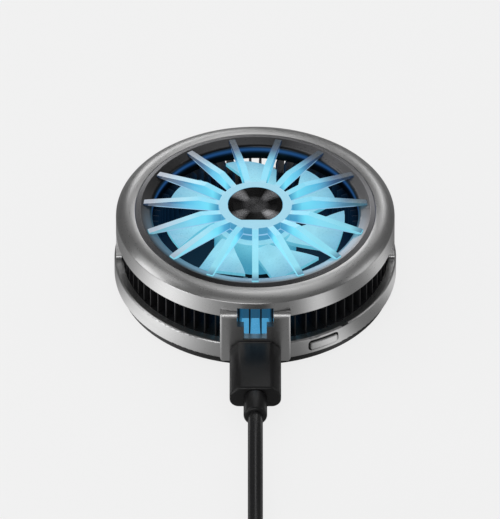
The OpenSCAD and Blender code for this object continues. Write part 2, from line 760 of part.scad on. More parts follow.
module fan_shaft() color("lightgray") translate([0, 0, thrust_top + run_gap])
    cylinder(h = rotor_top + shaft_bite - thrust_top - run_gap, r = shaft_r, $fn = 48);

// Motor
module bearing_sleeve() color("goldenrod") translate([0, 0, thrust_top]) difference() {
    cylinder(h = tube_h - thrust_t - sleeve_inset, r = sleeve_r, $fn = 48);
    translate([0, 0, -over]) cylinder(h = tube_h + 2 * over, r = shaft_r + run_gap, $fn = 48);
}

module thrust_pad() color("ivory") translate([0, 0, motor_z]) cylinder(h = thrust_t, r = sleeve_r, $fn = 48);

module stator_arm2d(w) translate([0, -w / 2]) square([pole_r - shoe_t / 2, w]);

module stator_core() color("slategray") translate([0, 0, stator_z]) linear_extrude(stator_h) difference() {
    union() {
        circle(core_r + core_wall, $fn = 48);
        around(poles, pole_turn) {
            stator_arm2d(arm_w);
            sector2d(pole_r - shoe_t, pole_r, -180 / poles * shoe_share, 180 / poles * shoe_share);
        }
    }
    circle(core_r, $fn = 48);
}

module stator_coils() color("peru") around(poles, pole_turn) difference() {
    translate([core_r + core_wall + coil_gap, -arm_w / 2 - coil_over, stator_z - coil_over])
        cube([pole_r - shoe_t - core_r - core_wall - 2 * coil_gap, arm_w + 2 * coil_over,
              stator_h + 2 * coil_over]);
    translate([0, 0, stator_z - run_gap]) linear_extrude(stator_h + 2 * run_gap)
        stator_arm2d(arm_w + 2 * run_gap);
}

module motor_base() color("darkgreen") {
    difference() {
        union() {
            translate([0, 0, floor_top]) cylinder(h = motor_plate_t, r = motor_plate_r, $fn = round_fn);
            translate([0, 0, floor_top]) cylinder(h = motor_plate_t + tube_h, r = tube_r, $fn = 48);
            translate([0, 0, floor_top])
                cylinder(h = motor_plate_t + stator_lift, r = tube_r + core_wall, $fn = 48);
        }
        translate([0, 0, motor_z]) cylinder(h = tube_h + over, r = tube_in_r, $fn = 48);
    }
}

module fan_lead() color("white") rotate([0, 0, fan_lead_az]) {
    translate([motor_plate_r + fit_gap, -fan_lead_w / 2, floor_top])
        cube([fan_lead_r - motor_plate_r - fit_gap, fan_lead_w, fan_lead_t]);
    translate([fan_lead_r - fan_lead_t, -fan_lead_w / 2, board_top])
        cube([fan_lead_t, fan_lead_w, floor_top + fan_lead_t - board_top]);
}

// Heatsink: a floor with a ring of radial fins, cleared for the socket and the switch
module heatsink() color("#222222") difference() {
    union() {
        translate([0, 0, floor_low]) cylinder(h = floor_t, r = sink_r, $fn = round_fn);
        around(fins, 180 / fins) translate([fin_in_r, -fin_t / 2, floor_top - floor_t / 2])
            cube([fin_depth - fit_gap / 2, fin_t, deck_z - floor_top + floor_t / 2]);
    }
    turned() bar2d(0, duct_low - fit_gap, seat_in_r, deck_z + over);
    translate([-lens_half - pocket_gap, -shell_r, floor_low - over])
        cube([2 * (lens_half + pocket_gap), shell_r - socket_back + lens_reach + 2 * pocket_gap,
              lens_top + pocket_gap - floor_low + over]);
    rotate([0, 0, button_az]) translate([switch_pocket_in, -switch_pocket_w / 2, floor_low - over])
        cube([shell_r, switch_pocket_w, button_z + slot_h / 2 + fit_gap - floor_low + over]);
    rotate([0, 0, fan_lead_az])
        translate([fan_lead_r - fan_lead_t - fit_gap, -fan_lead_w / 2 - fit_gap, floor_low - over])
            cube([fan_lead_t + 2 * fit_gap, fan_lead_w + 2 * fit_gap, floor_t + 2 * over]);
}

// Lower ring with its flange, front bracket and side struts
module bracket_side2d() {
    bar2d(front_y + bracket_top_round, ring_low, -shell_in_r + over, bracket_top);
    bar2d(front_y, ring_low, -shell_in_r + over, bracket_top - bracket_top_round);
    translate([front_y + bracket_top_round, bracket_top - bracket_top_round])
        circle(bracket_top_round, $fn = 48);
}

module bracket_plan2d() {
    half = bracket_w / 2;
    bar2d(-half, front_y + bracket_round, half, -shell_in_r + 2 * over);
    bar2d(-half + bracket_round, front_y, half - bracket_round, -shell_in_r + 2 * over);
    for (s = [-1, 1])
        translate([s * (half - bracket_round), front_y + bracket_round]) circle(bracket_round, $fn = 32);
}

module bracket_front2d() {
    half = bracket_w / 2;
    low = ring_low + bracket_lift;
    bar2d(-half, low + bracket_corner, half, bracket_top + over);
    bar2d(-half + bracket_corner, low, half - bracket_corner, bracket_top + over);
    for (s = [-1, 1])
        translate([s * (half - bracket_corner), low + bracket_corner]) circle(bracket_corner, $fn = 32);
}

module bracket() difference() {
    intersection() {
        along_front(0, shell_r + bracket_out + over) bracket_front2d();
        linear_extrude(bracket_top + over) bracket_plan2d();
        along_x(-bracket_w / 2 - over, bracket_w + 2 * over) bracket_side2d();
    }
    cylinder(h = bracket_top + over, r = shell_in_r, $fn = round_fn);
    translate([0, 0, ring_top]) cylinder(h = bracket_top, r = -front_y - bracket_t, $fn = round_fn);
    translate([0, 0, band_low - fit_gap])
        cylinder(h = bracket_lap + 2 * over, r = band_r + fit_gap, $fn = round_fn);
}

module strut() {
    translate([0, 0, ring_top - over]) linear_extrude(vent_h + over)
        sector2d(band_r - strut_t, band_r, -strut_lead, strut_angle);
    translate([0, 0, band_low - over]) linear_extrude(tongue_h + over)
        sector2d(tongue_r - tongue_t / 2, tongue_r + tongue_t / 2,
            -strut_lead + tongue_end, strut_angle - tongue_end);
    rotate([0, 0, -strut_lead]) along_x(band_r - strut_t, strut_t) translate([0, ring_top]) difference() {
        bar2d(-strut_foot, -over, over / 2, strut_foot);
        translate([-strut_foot, strut_foot]) circle(strut_foot, $fn = 32);
    }
}

module lower_shell() color("silver") difference() {
    union() {
        turned() {
            soft_bar2d(shell_in_r, ring_low, shell_r, ring_top, ring_round);
            bar2d(flange_r, ring_low, shell_in_r + over, floor_low);
        }
        bracket();
        for (side = [0, 1]) mirror([side, 0, 0]) strut();
    }
    translate([-window_w / 2, front_y - over, window_step_z])
        cube([window_w, shell_r - shell_in_r + 3 * over, bracket_top - window_step_z + over]);
    translate([-window_low_w / 2, front_y - over, sill_z])
        cube([window_low_w, shell_r - shell_in_r + 3 * over, window_low_h + over]);
    along_front(-socket_back + 2 * over, shell_r) translate([0, port_z])
        slot2d(socket_w + fit_gap, socket_h + fit_gap);
    translate([-lens_half, -shell_in_r, board_top]) cube([2 * lens_half, shell_in_r, lens_low - board_top]);
    rotate([0, 0, button_az]) {
        along_x(flange_r, shell_r) translate([0, button_z]) soft_rect2d(slot_w, slot_h, slot_round);
        translate([flange_r - over, -switch_pocket_w / 2, button_z - slot_h / 2])
            cube([stop_out_r + fit_gap - flange_r + over, switch_pocket_w, slot_h]);
    }
    rotate([0, 0, 270 + ring_notch_angle])
        translate([shell_in_r - over, -ring_notch_w / 2, ring_top - ring_notch_h])
        cube([shell_wall + 2 * over, ring_notch_w, ring_notch_h + over]);
    around(screws, screw_turn) translate([screw_pos, 0, ring_low - over])
        cylinder(h = screw_bite + fit_gap + over, r = screw_r + run_gap, $fn = 32);
}

// Clear plate over the socket that lights the window
module window_lens() color("skyblue") intersection() {
    translate([-lens_half, -shell_r, lens_low])
        cube([2 * lens_half, shell_r - socket_back + lens_reach, lens_t]);
    cylinder(h = ring_top + 2 * over, r = shell_in_r, $fn = round_fn);
}

// Button and switch
module power_button() color("gray") rotate([0, 0, button_az]) {
    intersection() {
        along_x(stop_in_r, shell_r) translate([0, button_z])
            soft_rect2d(slot_w - 2 * button_gap, slot_h - 2 * button_gap, slot_round - button_gap);
        rotate([0, 0, -button_az]) cylinder(h = ring_top, r = button_face_r, $fn = round_fn);
    }
    translate([stop_in_r, -slot_w / 2 - button_stop, button_z - stop_h / 2])
        cube([button_stop_t, slot_w + 2 * button_stop, stop_h]);
}

module switch_plunger() color("black") rotate([0, 0, button_az])
    translate([switch_front - plunger_reach, -plunger_w / 2, button_z - plunger_h / 2])
        cube([stop_in_r - switch_front + plunger_reach, plunger_w, plunger_h]);

module tact_switch() color("silver") rotate([0, 0, button_az]) difference() {
    translate([switch_front - switch_depth, -switch_w / 2, board_top])
        cube([switch_depth, switch_w, switch_h]);
    translate([switch_front - plunger_reach - button_travel - fit_gap, -plunger_w / 2 - fit_gap,
               button_z - plunger_h / 2 - fit_gap])
        cube([plunger_reach + button_travel + over, plunger_w + 2 * fit_gap, plunger_h + 2 * fit_gap]);
}

// Control board under the front of the heatsink
module control_board() color("darkgreen") translate([0, 0, board_low]) linear_extrude(board_top - board_low)
    sector2d(board_in, board_out, board_mid - board_angle / 2, board_mid + board_angle / 2);

module board_components() color("#303030") for (a = chip_turns)
    rotate([0, 0, a])
        translate([board_in + chip_inset, -chip_w / 2, board_top]) cube([chip_w, chip_w, chip_h]);

module usb_c_socket() color("lightgray") difference() {
    along_front(-socket_back, socket_len) translate([0, port_z]) slot2d(socket_w, socket_h);
    along_front(-socket_back - socket_back_t, socket_len) translate([0, port_z])
        slot2d(socket_w - 2 * socket_wall, socket_h - 2 * socket_wall);
}

module socket_tongue() color("black")
    translate([-tongue_half, -socket_front + socket_tongue_inset, port_z - socket_tongue_t / 2])
        cube([2 * tongue_half, socket_len - socket_back_t - socket_tongue_inset, socket_tongue_t]);

// Thermoelectric tile, its leads and the foam round it
module tile(z, t) translate([-tile_w / 2, -tile_w / 2, z]) cube([tile_w, tile_w, t]);

module peltier_hot_plate() color("white") tile(pellet_top, ceramic_t);

module peltier_cold_plate() color("white") tile(tile_low, ceramic_t);

module peltier_pellets() color("darkgray") for (i = [0 : pellets - 1]) for (j = [0 : pellets - 1])
    translate([(i + 0.5) * tile_w / pellets - tile_w / 2 - pellet_w / 2,
               (j + 0.5) * tile_w / pellets - tile_w / 2 - pellet_w / 2, pellet_low])
        cube([pellet_w, pellet_w, pellet_top - pellet_low]);

module peltier_leads() color("red") for (s = [-1, 1])
    translate([s * lead_x, -tile_w / 2 + lead_bite, pellet_low + lead_r]) rotate([90, 0, 0])
        cylinder(h = sqrt(board_in * board_in - lead_x * lead_x) - tile_w / 2 + lead_bite - fit_gap,
                 r = lead_r, $fn = 24);

module insulation_frame() color("#555555") difference() {
    translate([-foam_out, -foam_out, tile_low]) cube([2 * foam_out, 2 * foam_out, floor_low - tile_low]);
    translate([-tile_w / 2 - fit_gap, -tile_w / 2 - fit_gap, 0])
        cube([tile_w + 2 * fit_gap, tile_w + 2 * fit_gap, ring_top]);
    translate([-lead_x - lead_r - fit_gap, -foam_out - over, pellet_low - fit_gap])
        cube([2 * (lead_x + lead_r + fit_gap), foam_w + over, 2 * lead_r + 2 * fit_gap]);
}

module cold_plate() color("gainsboro") turned() {
    bar2d(0, 0, plate_r, plate_t);
    bar2d(0, plate_step, plate_r + plate_flange, plate_t);
}

// Base with its pocket for the magnets
module base_cover() color("#181818") difference() {
    turned() difference() {
        bar2d(plate_r + fit_gap, pad_t, base_r, base_h);
        bar2d(0, plate_step, plate_r + plate_flange + fit_gap, base_h + over);
        bar2d(magnet_in - fit_gap, pad_t + magnet_floor, magnet_out + fit_gap, base_h + over);
    }
    around(screws, screw_turn) translate([screw_pos, 0, 0]) {
        cylinder(h = base_h + over, r = screw_r + fit_gap, $fn = 32);
        translate([0, 0, pad_t - over])
            cylinder(h = screw_head_h + fit_gap / 2 + over, r = screw_head_r + fit_gap, $fn = 32);
    }
}

module magnets() color("dimgray") translate([0, 0, pad_t + magnet_floor]) linear_extrude(magnet_t)
    difference() {
    circle(magnet_out, $fn = round_fn);
    circle(magnet_in, $fn = round_fn);
    around(magnet_count) translate([0, -magnet_gap / 2]) square([shell_r, magnet_gap]);
}

module magnet_backing() color("gray") translate([0, 0, backing_low]) linear_extrude(backing_t) difference() {
    circle(magnet_out, $fn = round_fn);
    circle(magnet_in, $fn = round_fn);
}

module contact_pad() color("#2a2a2a") turned()
    bar2d(plate_r + pad_gap, 0, base_r - pad_inset, pad_t);

module case_screws() color("darkgray") around(screws, screw_turn)
    translate([screw_pos, 0, pad_t + fit_gap / 2]) {
    cylinder(h = screw_head_h, r = screw_head_r, $fn = 32);
    cylinder(h = base_h - pad_t - fit_gap / 2 + screw_bite, r = screw_r, $fn = 32);
}

// Plug at the front
plug_back = front_y - fit_gap;
module plug_shell() color("silver") difference() {
    along_front(plug_back + plug_shell_len, plug_shell_len)
        translate([0, port_z]) slot2d(plug_shell_w, plug_shell_h);
    along_front(plug_back + plug_shell_len + over, plug_shell_len + 2 * over) translate([0, port_z])
        slot2d(plug_shell_w - 2 * plug_shell_wall, plug_shell_h - 2 * plug_shell_wall);
}

module plug_overmold() color("#333333") along_front(plug_back, plug_len) translate([0, port_z])
    bevel_rect2d(plug_w, plug_h, plug_bevel);

module strain_relief() color("#333333") translate([0, plug_back - plug_len, port_z]) rotate([90, 0, 0])
    cylinder(h = collar_len, r = collar_d / 2, $fn = 48);

// Lead, its put-away coil and the far plug
module cable_lead() color("#383838") tube(lead_points, cord_d, 8);

module cable_coil() color("#383838") tube(coil_path, cord_d, 6);

module cable_tail() color("#383838") tube(tail_points, cord_d, 8);

module cable_tie() color("#202020") {
    inner = coil_in_r - cord_d / 2 - tie_play;
    outer = coil_r - coil_step / 2 + cord_d / 2 + tie_play;
    top = coil_z + coil_step + cord_d / 2 + tie_play;
    low = coil_z - cord_d / 2 - fit_gap;
    translate([coil_centre[0], coil_centre[1] + tie_w / 2, 0]) rotate([90, 0, 0]) linear_extrude(tie_w)
        difference() {
            bar2d(inner - tie_t, low - tie_t, outer + tie_t, top + tie_t);
            bar2d(inner, low, outer, top);
        }
}

module usb_a_overmold() color("#333333") translate([0, far_start[1], far_start[2]]) {
    along_x(far_start[0], far_collar_len) circle(far_collar_d / 2, $fn = 48);
    along_x(far_body_x, far_len) soft_rect2d(far_w, far_h, far_round);
}

module usb_a_shell() color("silver") translate([0, far_start[1], far_start[2]])
    along_x(far_body_x + far_len, far_shell_len) difference() {
        square([far_shell_w, far_shell_h], center = true);
        square([far_shell_w - 2 * far_shell_wall, far_shell_h - 2 * far_shell_wall], center = true);
    }

module usb_a_tongue() color("white")
    translate([far_body_x + far_len, far_start[1] - far_shell_w / 2 + far_shell_wall + fit_gap / 2,
               far_start[2] + fit_gap / 2])
        cube([far_shell_len - far_tongue_inset, far_shell_w - 2 * far_shell_wall - fit_gap, far_tongue_t]);

top_ring();
inlet_ring();
light_grille();
hub_cap();
led_board();
led_chips();
impeller();
rotor_yoke();
rotor_magnet();
fan_shaft();
bearing_sleeve();
thrust_pad();
stator_core();
stator_coils();
motor_base();
fan_lead();
heatsink();
lower_shell();
window_lens();
power_button();
switch_plunger();
tact_switch();
control_board();
board_components();
usb_c_socket();
socket_tongue();
peltier_hot_plate();
peltier_pellets();
peltier_cold_plate();
peltier_leads();
insulation_frame();
cold_plate();
base_cover();
magnets();
magnet_backing();
contact_pad();
case_screws();
plug_shell();
plug_overmold();
strain_relief();
cable_lead();
cable_coil();
cable_tail();
cable_tie();
usb_a_overmold();
usb_a_shell();
usb_a_tongue();
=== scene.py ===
import json
import math

import bmesh
import bpy
from bpy.props import FloatProperty, FloatVectorProperty, IntProperty, PointerProperty
from mathutils import Matrix, Vector

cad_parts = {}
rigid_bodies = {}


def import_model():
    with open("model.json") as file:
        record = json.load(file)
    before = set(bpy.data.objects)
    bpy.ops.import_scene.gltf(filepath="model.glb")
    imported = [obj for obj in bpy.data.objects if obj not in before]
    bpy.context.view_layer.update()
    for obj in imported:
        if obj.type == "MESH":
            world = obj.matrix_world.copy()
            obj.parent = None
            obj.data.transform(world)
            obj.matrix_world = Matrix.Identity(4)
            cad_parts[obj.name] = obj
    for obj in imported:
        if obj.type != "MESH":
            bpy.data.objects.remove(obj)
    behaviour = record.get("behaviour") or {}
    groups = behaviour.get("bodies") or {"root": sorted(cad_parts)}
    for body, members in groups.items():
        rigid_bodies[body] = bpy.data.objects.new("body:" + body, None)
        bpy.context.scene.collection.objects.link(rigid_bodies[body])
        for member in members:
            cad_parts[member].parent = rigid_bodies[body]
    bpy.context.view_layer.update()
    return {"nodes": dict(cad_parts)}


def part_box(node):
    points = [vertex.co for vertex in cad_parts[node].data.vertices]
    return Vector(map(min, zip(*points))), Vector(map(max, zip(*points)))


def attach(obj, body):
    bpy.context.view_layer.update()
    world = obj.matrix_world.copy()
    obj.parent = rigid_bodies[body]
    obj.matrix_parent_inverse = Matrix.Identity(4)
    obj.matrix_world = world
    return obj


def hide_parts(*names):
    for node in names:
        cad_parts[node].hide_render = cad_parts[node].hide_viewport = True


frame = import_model()
NODES = frame["nodes"]

bl_info = {
    "name": "Phone Cooler",
    "version": (1, 0, 0),
    "blender": (4, 5, 0),
    "location": "3D View > Sidebar > Cooler",
    "description": "Dresses a round phone cooler: metal rings, lit grille, fan, fins and lead",
    "category": "Object",
}

MM = 0.001


# Settings
def colour(name, description, default):
    return FloatVectorProperty(name=name, description=description, default=default, size=3,
                               subtype="COLOR", min=0.0, max=1.0)


def length(name, description, default):
    return FloatProperty(name=name, description=description, default=default, min=0.0,
                         subtype="DISTANCE", unit="LENGTH", precision=5)


class CoolerFinishes(bpy.types.PropertyGroup):
    """Colours of the cooler's finishes"""
    ring_metal: colour("Ring metal", "Satin metal of both rings and the bracket", (0.60, 0.60, 0.60))
    inlet_metal: colour("Inlet metal", "Dark metal of the inlet ring", (0.12, 0.12, 0.125))
    cap_metal: colour("Cap metal", "Black spun metal of the hub cap", (0.075, 0.075, 0.078))
    fin_black: colour("Fin black", "Black anodised fins", (0.011, 0.011, 0.012))
    hub_light: colour("Hub light", "Light in the grille's hub", (0.29, 0.54, 0.66))
    top_near: colour("Spoke top near", "Light on a spoke's top beside the hub", (0.20, 0.58, 0.74))
    top_mid: colour("Spoke top middle", "Light on a spoke's top half way along", (0.19, 0.54, 0.72))
    top_wide: colour("Spoke top wide", "Light on a spoke's top past its middle", (0.080, 0.125, 0.21))
    top_far: colour("Spoke top far", "Light on a spoke's top at its tip", (0.070, 0.076, 0.086))
    fore_top: colour("Front top", "Light on a front spoke's top", (0.24, 0.66, 0.80))
    fore_tip: colour("Front tip", "Light on a front spoke's top at its tip", (0.05, 0.13, 0.23))
    fore_side: colour("Front side", "Light in a front spoke's side", (0.23, 0.67, 0.82))
    lit_mid: colour("Lit top middle", "Light on a left spoke's top half way along", (0.38, 0.68, 0.79))
    lit_wide: colour("Lit top wide", "Light on a left spoke's top past its middle", (0.47, 0.63, 0.75))
    lit_far: colour("Lit top far", "Light on a left spoke's top at its tip", (0.46, 0.49, 0.56))
    skirt_light: colour("Skirt light", "Light in the hub's skirt", (0.035, 0.22, 0.38))
    side_near: colour("Spoke side near", "Light in a spoke's side beside the hub", (0.14, 0.62, 0.78))
    side_mid: colour("Spoke side middle", "Light in a spoke's side half way along", (0.08, 0.44, 0.68))
    side_wide: colour("Spoke side wide", "Light in a spoke's side past its middle", (0.035, 0.11, 0.26))
    side_far: colour("Spoke side far", "Light in a spoke's side at its tip", (0.008, 0.020, 0.055))
    spoke_rim: colour("Spoke rim", "Pale line along a spoke's lower edge", (0.26, 0.48, 0.70))
    blade_near: colour("Blade near", "Light in a blade beside the hub", (0.25, 0.59, 0.70))
    blade_far: colour("Blade far", "Light in a blade at its tip", (0.13, 0.36, 0.50))
    blade_side: colour("Blade side", "Light in a blade's edge and in the fan's hub", (0.11, 0.44, 0.57))
    window_light: colour("Window light", "Light in the plate behind the window", (0.060, 0.30, 0.54))
    duct_light: colour("Duct light", "Light that the duct's edge catches", (0.014, 0.065, 0.20))
    front_light: colour("Front light", "Light that the funnel catches at the front", (0.085, 0.19, 0.28))
    gap_light: colour("Gap light", "Light between the fins behind the window", (0.012, 0.070, 0.14))
    floor_light: colour("Floor light", "Light that the heatsink's floor catches", (0.001, 0.008, 0.022))
    sheath_black: colour("Sheath black", "Soft sheath of the lead", (0.009, 0.009, 0.0095))
    moulded_black: colour("Moulded black", "Moulded bodies of the plugs and the base", (0.006, 0.006, 0.0065))


class CoolerLead(bpy.types.PropertyGroup):
    """Sizes of the lead and its put-away coil"""
    cord_d: length("Cord diameter", "Diameter of the lead", 0.0035)
    cord_length: length("Cord length", "Real length of the lead", 1.0)
    coil_r: length("Coil radius", "Radius of the coil's outer turn", 0.0274)
    coil_step: length("Coil step", "Step between neighbouring turns", 0.00395)
    coil_turns: IntProperty(name="Coil turns", description="Turns in the put-away coil", default=7, min=1)
    edge_round: length("Edge rounding", "Rounding of the plugs' moulded edges", 0.0007)
    plug_corner: length("Plug corner", "Corner of the front plug's body, cut above and round below", 0.0021)
    far_corner: length("Far corner", "Round corner of the far plug's body", 0.001)
    far_collar: length("Far collar", "Length of the far plug's collar", 0.003)
    far_collar_d: length("Far collar diameter", "Diameter of the far plug's collar", 0.0055)
    tie_t: length("Tie thickness", "Thickness of the tie", 0.00045)


class CoolerStage(bpy.types.PropertyGroup):
    """Camera, floor and lamps"""
    elevation: FloatProperty(name="Elevation", description="Height of the view above level",
                             default=math.radians(39.6), subtype="ANGLE", unit="ROTATION")
    distance: length("Distance", "Distance of the camera from the cooler", 4.6)
    view_width: length("View width", "What the photograph's long side spans at the cooler", 0.1216)
    pale: FloatProperty(name="Pale", description="Level of the pale floor and backdrop",
                        default=0.887, min=0.0, max=1.0)
    around: FloatProperty(name="Surroundings", description="Level of the backdrop in reflections",
                          default=0.12, min=0.0, max=1.0)
    under: FloatProperty(name="Floor in reflections", description="Level of the floor in reflections",
                         default=0.18, min=0.0, max=1.0)
    soft: FloatProperty(name="Soft light", description="Level of the light from all round",
                        default=0.62, min=0.0, max=1.0)
    floor_half: length("Floor half width", "Half the width of the floor", 6.0)
    floor_gap: length("Floor gap", "How far the floor lies below the cooler", 0.00004)
    lamp_reach: length("Lamp reach", "Distance of the softboxes from the cooler", 1.1)


# Node helpers
def join(tree, value, socket):
    """Links a socket to another node's output, or sets its value."""
    if isinstance(value, bpy.types.NodeSocket):
        tree.links.new(value, socket)
    elif socket.type == "RGBA":
        socket.default_value = (*value, 1.0)
    else:
        socket.default_value = value


def put(tree, kind, sockets, **attributes):
    """Adds a node, sets its attributes and sets or links its sockets."""
    made = tree.nodes.new(kind)
    for key, value in attributes.items():
        setattr(made, key, value)
    for key, value in sockets.items():
        join(tree, value, made.inputs[key])
    return made


def math_node(tree, operation, a, b=0.0):
    return put(tree, "ShaderNodeMath", {0: a, 1: b}, operation=operation).outputs[0]


def mix_colour(tree, factor, a, b, blend="MIX"):
    return put(tree, "ShaderNodeMix", {0: factor, 6: a, 7: b}, data_type="RGBA", blend_type=blend).outputs[2]


def spread(tree, value, low, high, to_low=0.0, to_high=1.0):
    return put(tree, "ShaderNodeMapRange", {0: value, 1: low, 2: high, 3: to_low, 4: to_high}).outputs[0]


def new_group(name, inputs, outputs):
    tree = bpy.data.node_groups.new(name, "ShaderNodeTree")
    for socket, kind, default in inputs:
        made = tree.interface.new_socket(socket, in_out="INPUT", socket_type=kind)
        made.default_value = default
    for socket, kind in outputs:
        tree.interface.new_socket(socket, in_out="OUTPUT", socket_type=kind)
    return tree, tree.nodes.new("NodeGroupInput").outputs, tree.nodes.new("NodeGroupOutput").inputs


def place(tree, group, **sockets):
    return put(tree, "ShaderNodeGroup", sockets, node_tree=bpy.data.node_groups[group]).outputs


def make_groups():
    """Shader groups that several finishes share."""
    real, vector = "NodeSocketFloat", "NodeSocketVector"

    tree, given, out = new_group("Eased edge", [("Radius", real, 0.0003)],
                                 [("Normal", vector), ("Edge", real)])
    eased = put(tree, "ShaderNodeBevel", {"Radius": given["Radius"]}, samples=6).outputs[0]
    plain = tree.nodes.new("ShaderNodeNewGeometry").outputs["Normal"]
    turn = put(tree, "ShaderNodeVectorMath", {0: eased, 1: plain}, operation="DOT_PRODUCT").outputs["Value"]
    tree.links.new(eased, out["Normal"])
    tree.links.new(spread(tree, turn, 0.995, 0.86), out["Edge"])

    tree, given, out = new_group("Fine grain", [("Scale", real, 2000.0), ("Cloud", real, 90.0)],
                                 [("Grain", real), ("Cloud", real)])
    place_in = tree.nodes.new("ShaderNodeTexCoord").outputs["Object"]
    fine = put(tree, "ShaderNodeTexNoise", {"Vector": place_in, "Scale": given["Scale"], "Detail": 3.0})
    wide = put(tree, "ShaderNodeTexNoise", {"Vector": place_in, "Scale": given["Cloud"], "Detail": 4.0})
    tree.links.new(fine.outputs[0], out["Grain"])
    tree.links.new(spread(tree, wide.outputs[0], 0.3, 0.7), out["Cloud"])

    tree, given, out = new_group("Round the axis", [], [("Radius", real), ("Turn", real), ("Height", real)])
    place_in = tree.nodes.new("ShaderNodeTexCoord").outputs["Object"]
    parts = put(tree, "ShaderNodeSeparateXYZ", {0: place_in}).outputs
    flat = put(tree, "ShaderNodeCombineXYZ", {0: parts[0], 1: parts[1]}).outputs[0]
    reach = put(tree, "ShaderNodeVectorMath", {0: flat}, operation="LENGTH").outputs["Value"]
    tree.links.new(reach, out["Radius"])
    tree.links.new(math_node(tree, "ARCTAN2", parts[1], parts[0]), out["Turn"])
    tree.links.new(parts[2], out["Height"])

    tree, given, out = new_group("Turned lines", [("Pitch", real, 9000.0)], [("Line", real)])
    polar = place(tree, "Round the axis")
    across = math_node(tree, "MULTIPLY", polar["Radius"], given["Pitch"])
    along = math_node(tree, "MULTIPLY", polar["Turn"], 0.6)
    upright = math_node(tree, "MULTIPLY", polar["Height"], given["Pitch"])
    lines = put(tree, "ShaderNodeCombineXYZ", {0: across, 1: along, 2: upright})
    noise = put(tree, "ShaderNodeTexNoise", {"Vector": lines.outputs[0], "Scale": 1.0, "Detail": 2.0})
    tree.links.new(noise.outputs[0], out["Line"])


def new_material(name):
    made = bpy.data.materials.new(name)
    made.use_nodes = True
    tree = made.node_tree
    shader = tree.nodes["Principled BSDF"]
    return made, tree, shader


def feed(tree, shader, **sockets):
    for key, value in sockets.items():
        join(tree, value, shader.inputs[key.replace("_", " ")])


def tint(base, factor):
    return tuple(min(1.0, channel * factor) for channel in base)


def bump(tree, height, depth, normal):
    return put(tree, "ShaderNodeBump", {"Height": height, "Distance": depth, "Strength": 1.0,
                                        "Normal": normal}).outputs[0]


def radial_colour(tree, stops, by="Radius"):
    """A colour that changes with the distance from the axis, or with another measure, from its stops."""
    near, far = stops[0][0], stops[-1][0]
    made = tree.nodes.new("ShaderNodeValToRGB")
    marks = made.color_ramp.elements
    for spot, shade in stops[1:-1]:
        marks.new((spot - near) / (far - near)).color = (*shade, 1.0)
    marks[0].color = (*stops[0][1], 1.0)
    marks[-1].color = (*stops[-1][1], 1.0)
    tree.links.new(spread(tree, place(tree, "Round the axis")[by], near, far), made.inputs[0])
    return made.outputs[0]


def caught(tree, shader, stops, front_stops, start, full, by="Radius"):
    """Light that a dark surface catches from the lit fan, more of it toward the front."""
    side = math_node(tree, "SINE", place(tree, "Round the axis")["Turn"])
    glow = mix_colour(tree, spread(tree, side, start, full), radial_colour(tree, stops, by),
                      radial_colour(tree, front_stops))
    feed(tree, shader, Emission_Color=glow, Emission_Strength=1.0)


def grained(name, base, roughness, metallic=0.0, grain=2400.0, cloud=120.0, depth=0.000004, edge=0.0002,
            edge_gain=1.5, specular=0.5, glow=None):
    """A finish with fine grain, slow variation and eased edges painted lighter, for wear and as a painted
    highlight.
    """
    made, tree, shader = new_material(name)
    edges = place(tree, "Eased edge", Radius=edge)
    texture = place(tree, "Fine grain", Scale=grain, Cloud=cloud)
    base = tuple(base)
    clouded = mix_colour(tree, texture["Cloud"], tint(base, 0.88), tint(base, 1.10))
    # eased edges painted lighter: wear and a painted highlight
    wear_and_edge_highlight = mix_colour(tree, edges["Edge"], clouded, tint(base, edge_gain))
    rough = math_node(tree, "ADD", spread(tree, texture["Cloud"], 0.0, 1.0, -0.02, 0.02),
                      spread(tree, texture["Grain"], 0.3, 0.7, roughness * 0.86, roughness * 1.14))
    feed(tree, shader, Base_Color=wear_and_edge_highlight, Roughness=rough, Metallic=metallic, Specular_IOR_Level=specular,
         Normal=bump(tree, texture["Grain"], depth, edges["Normal"]))
    if glow:
        caught(tree, shader, *glow)
    return made


# Depth of the fine lines in turned metal
LINE_DEPTH = 0.0000012


def turned_metal(name, base, roughness, pitch=9000.0, edge=0.0, edge_gain=1.0, anisotropic=0.0, gain=None,
                 glow=None):
    """Metal turned about the axis, with fine lines round it, eased edges painted lighter by their gain as a
    painted highlight where given, and a gain of painted highlights and painted shade over its colour where
    given.
    """
    made, tree, shader = new_material(name)
    texture = place(tree, "Fine grain", Scale=2600.0, Cloud=70.0)
    line = place(tree, "Turned lines", Pitch=pitch)["Line"]
    base = tuple(base)
    clouded = mix_colour(tree, texture["Cloud"], tint(base, 0.95), tint(base, 1.04))
    shade = mix_colour(tree, math_node(tree, "MULTIPLY", line, 0.25), clouded, tint(base, 0.82))
    normal = tree.nodes.new("ShaderNodeNewGeometry").outputs["Normal"]
    if edge:
        edges = place(tree, "Eased edge", Radius=edge)
        # eased edges painted lighter by their gain: a painted highlight
        shade = mix_colour(tree, edges["Edge"], shade, tint(base, edge_gain))
        normal = edges["Normal"]
    if gain:
        # the gain paints highlights and shade into the colour
        shade = mix_colour(tree, 1.0, shade, gain(tree), "MULTIPLY")
    feed(tree, shader, Base_Color=shade, Metallic=1.0,
         Roughness=spread(tree, math_node(tree, "ADD", line, texture["Grain"]), 0.7, 1.3,
                          roughness * 0.9, roughness * 1.1),
         Normal=bump(tree, line, LINE_DEPTH, normal))
    if anisotropic:
        round_axis = put(tree, "ShaderNodeTangent", {}, direction_type="RADIAL", axis="Z").outputs[0]
        feed(tree, shader, Anisotropic=anisotropic, Anisotropic_Rotation=0.25, Tangent=round_axis)
    if glow:
        caught(tree, shader, *glow)
    return made


def toward(tree, turn, middle, *reach):
    """A value by how far a turn round the axis lies from a middle, in degrees."""
    off = math_node(tree, "SUBTRACT", turn, math.radians(middle))
    return spread(tree, math_node(tree, "COSINE", off), *reach)


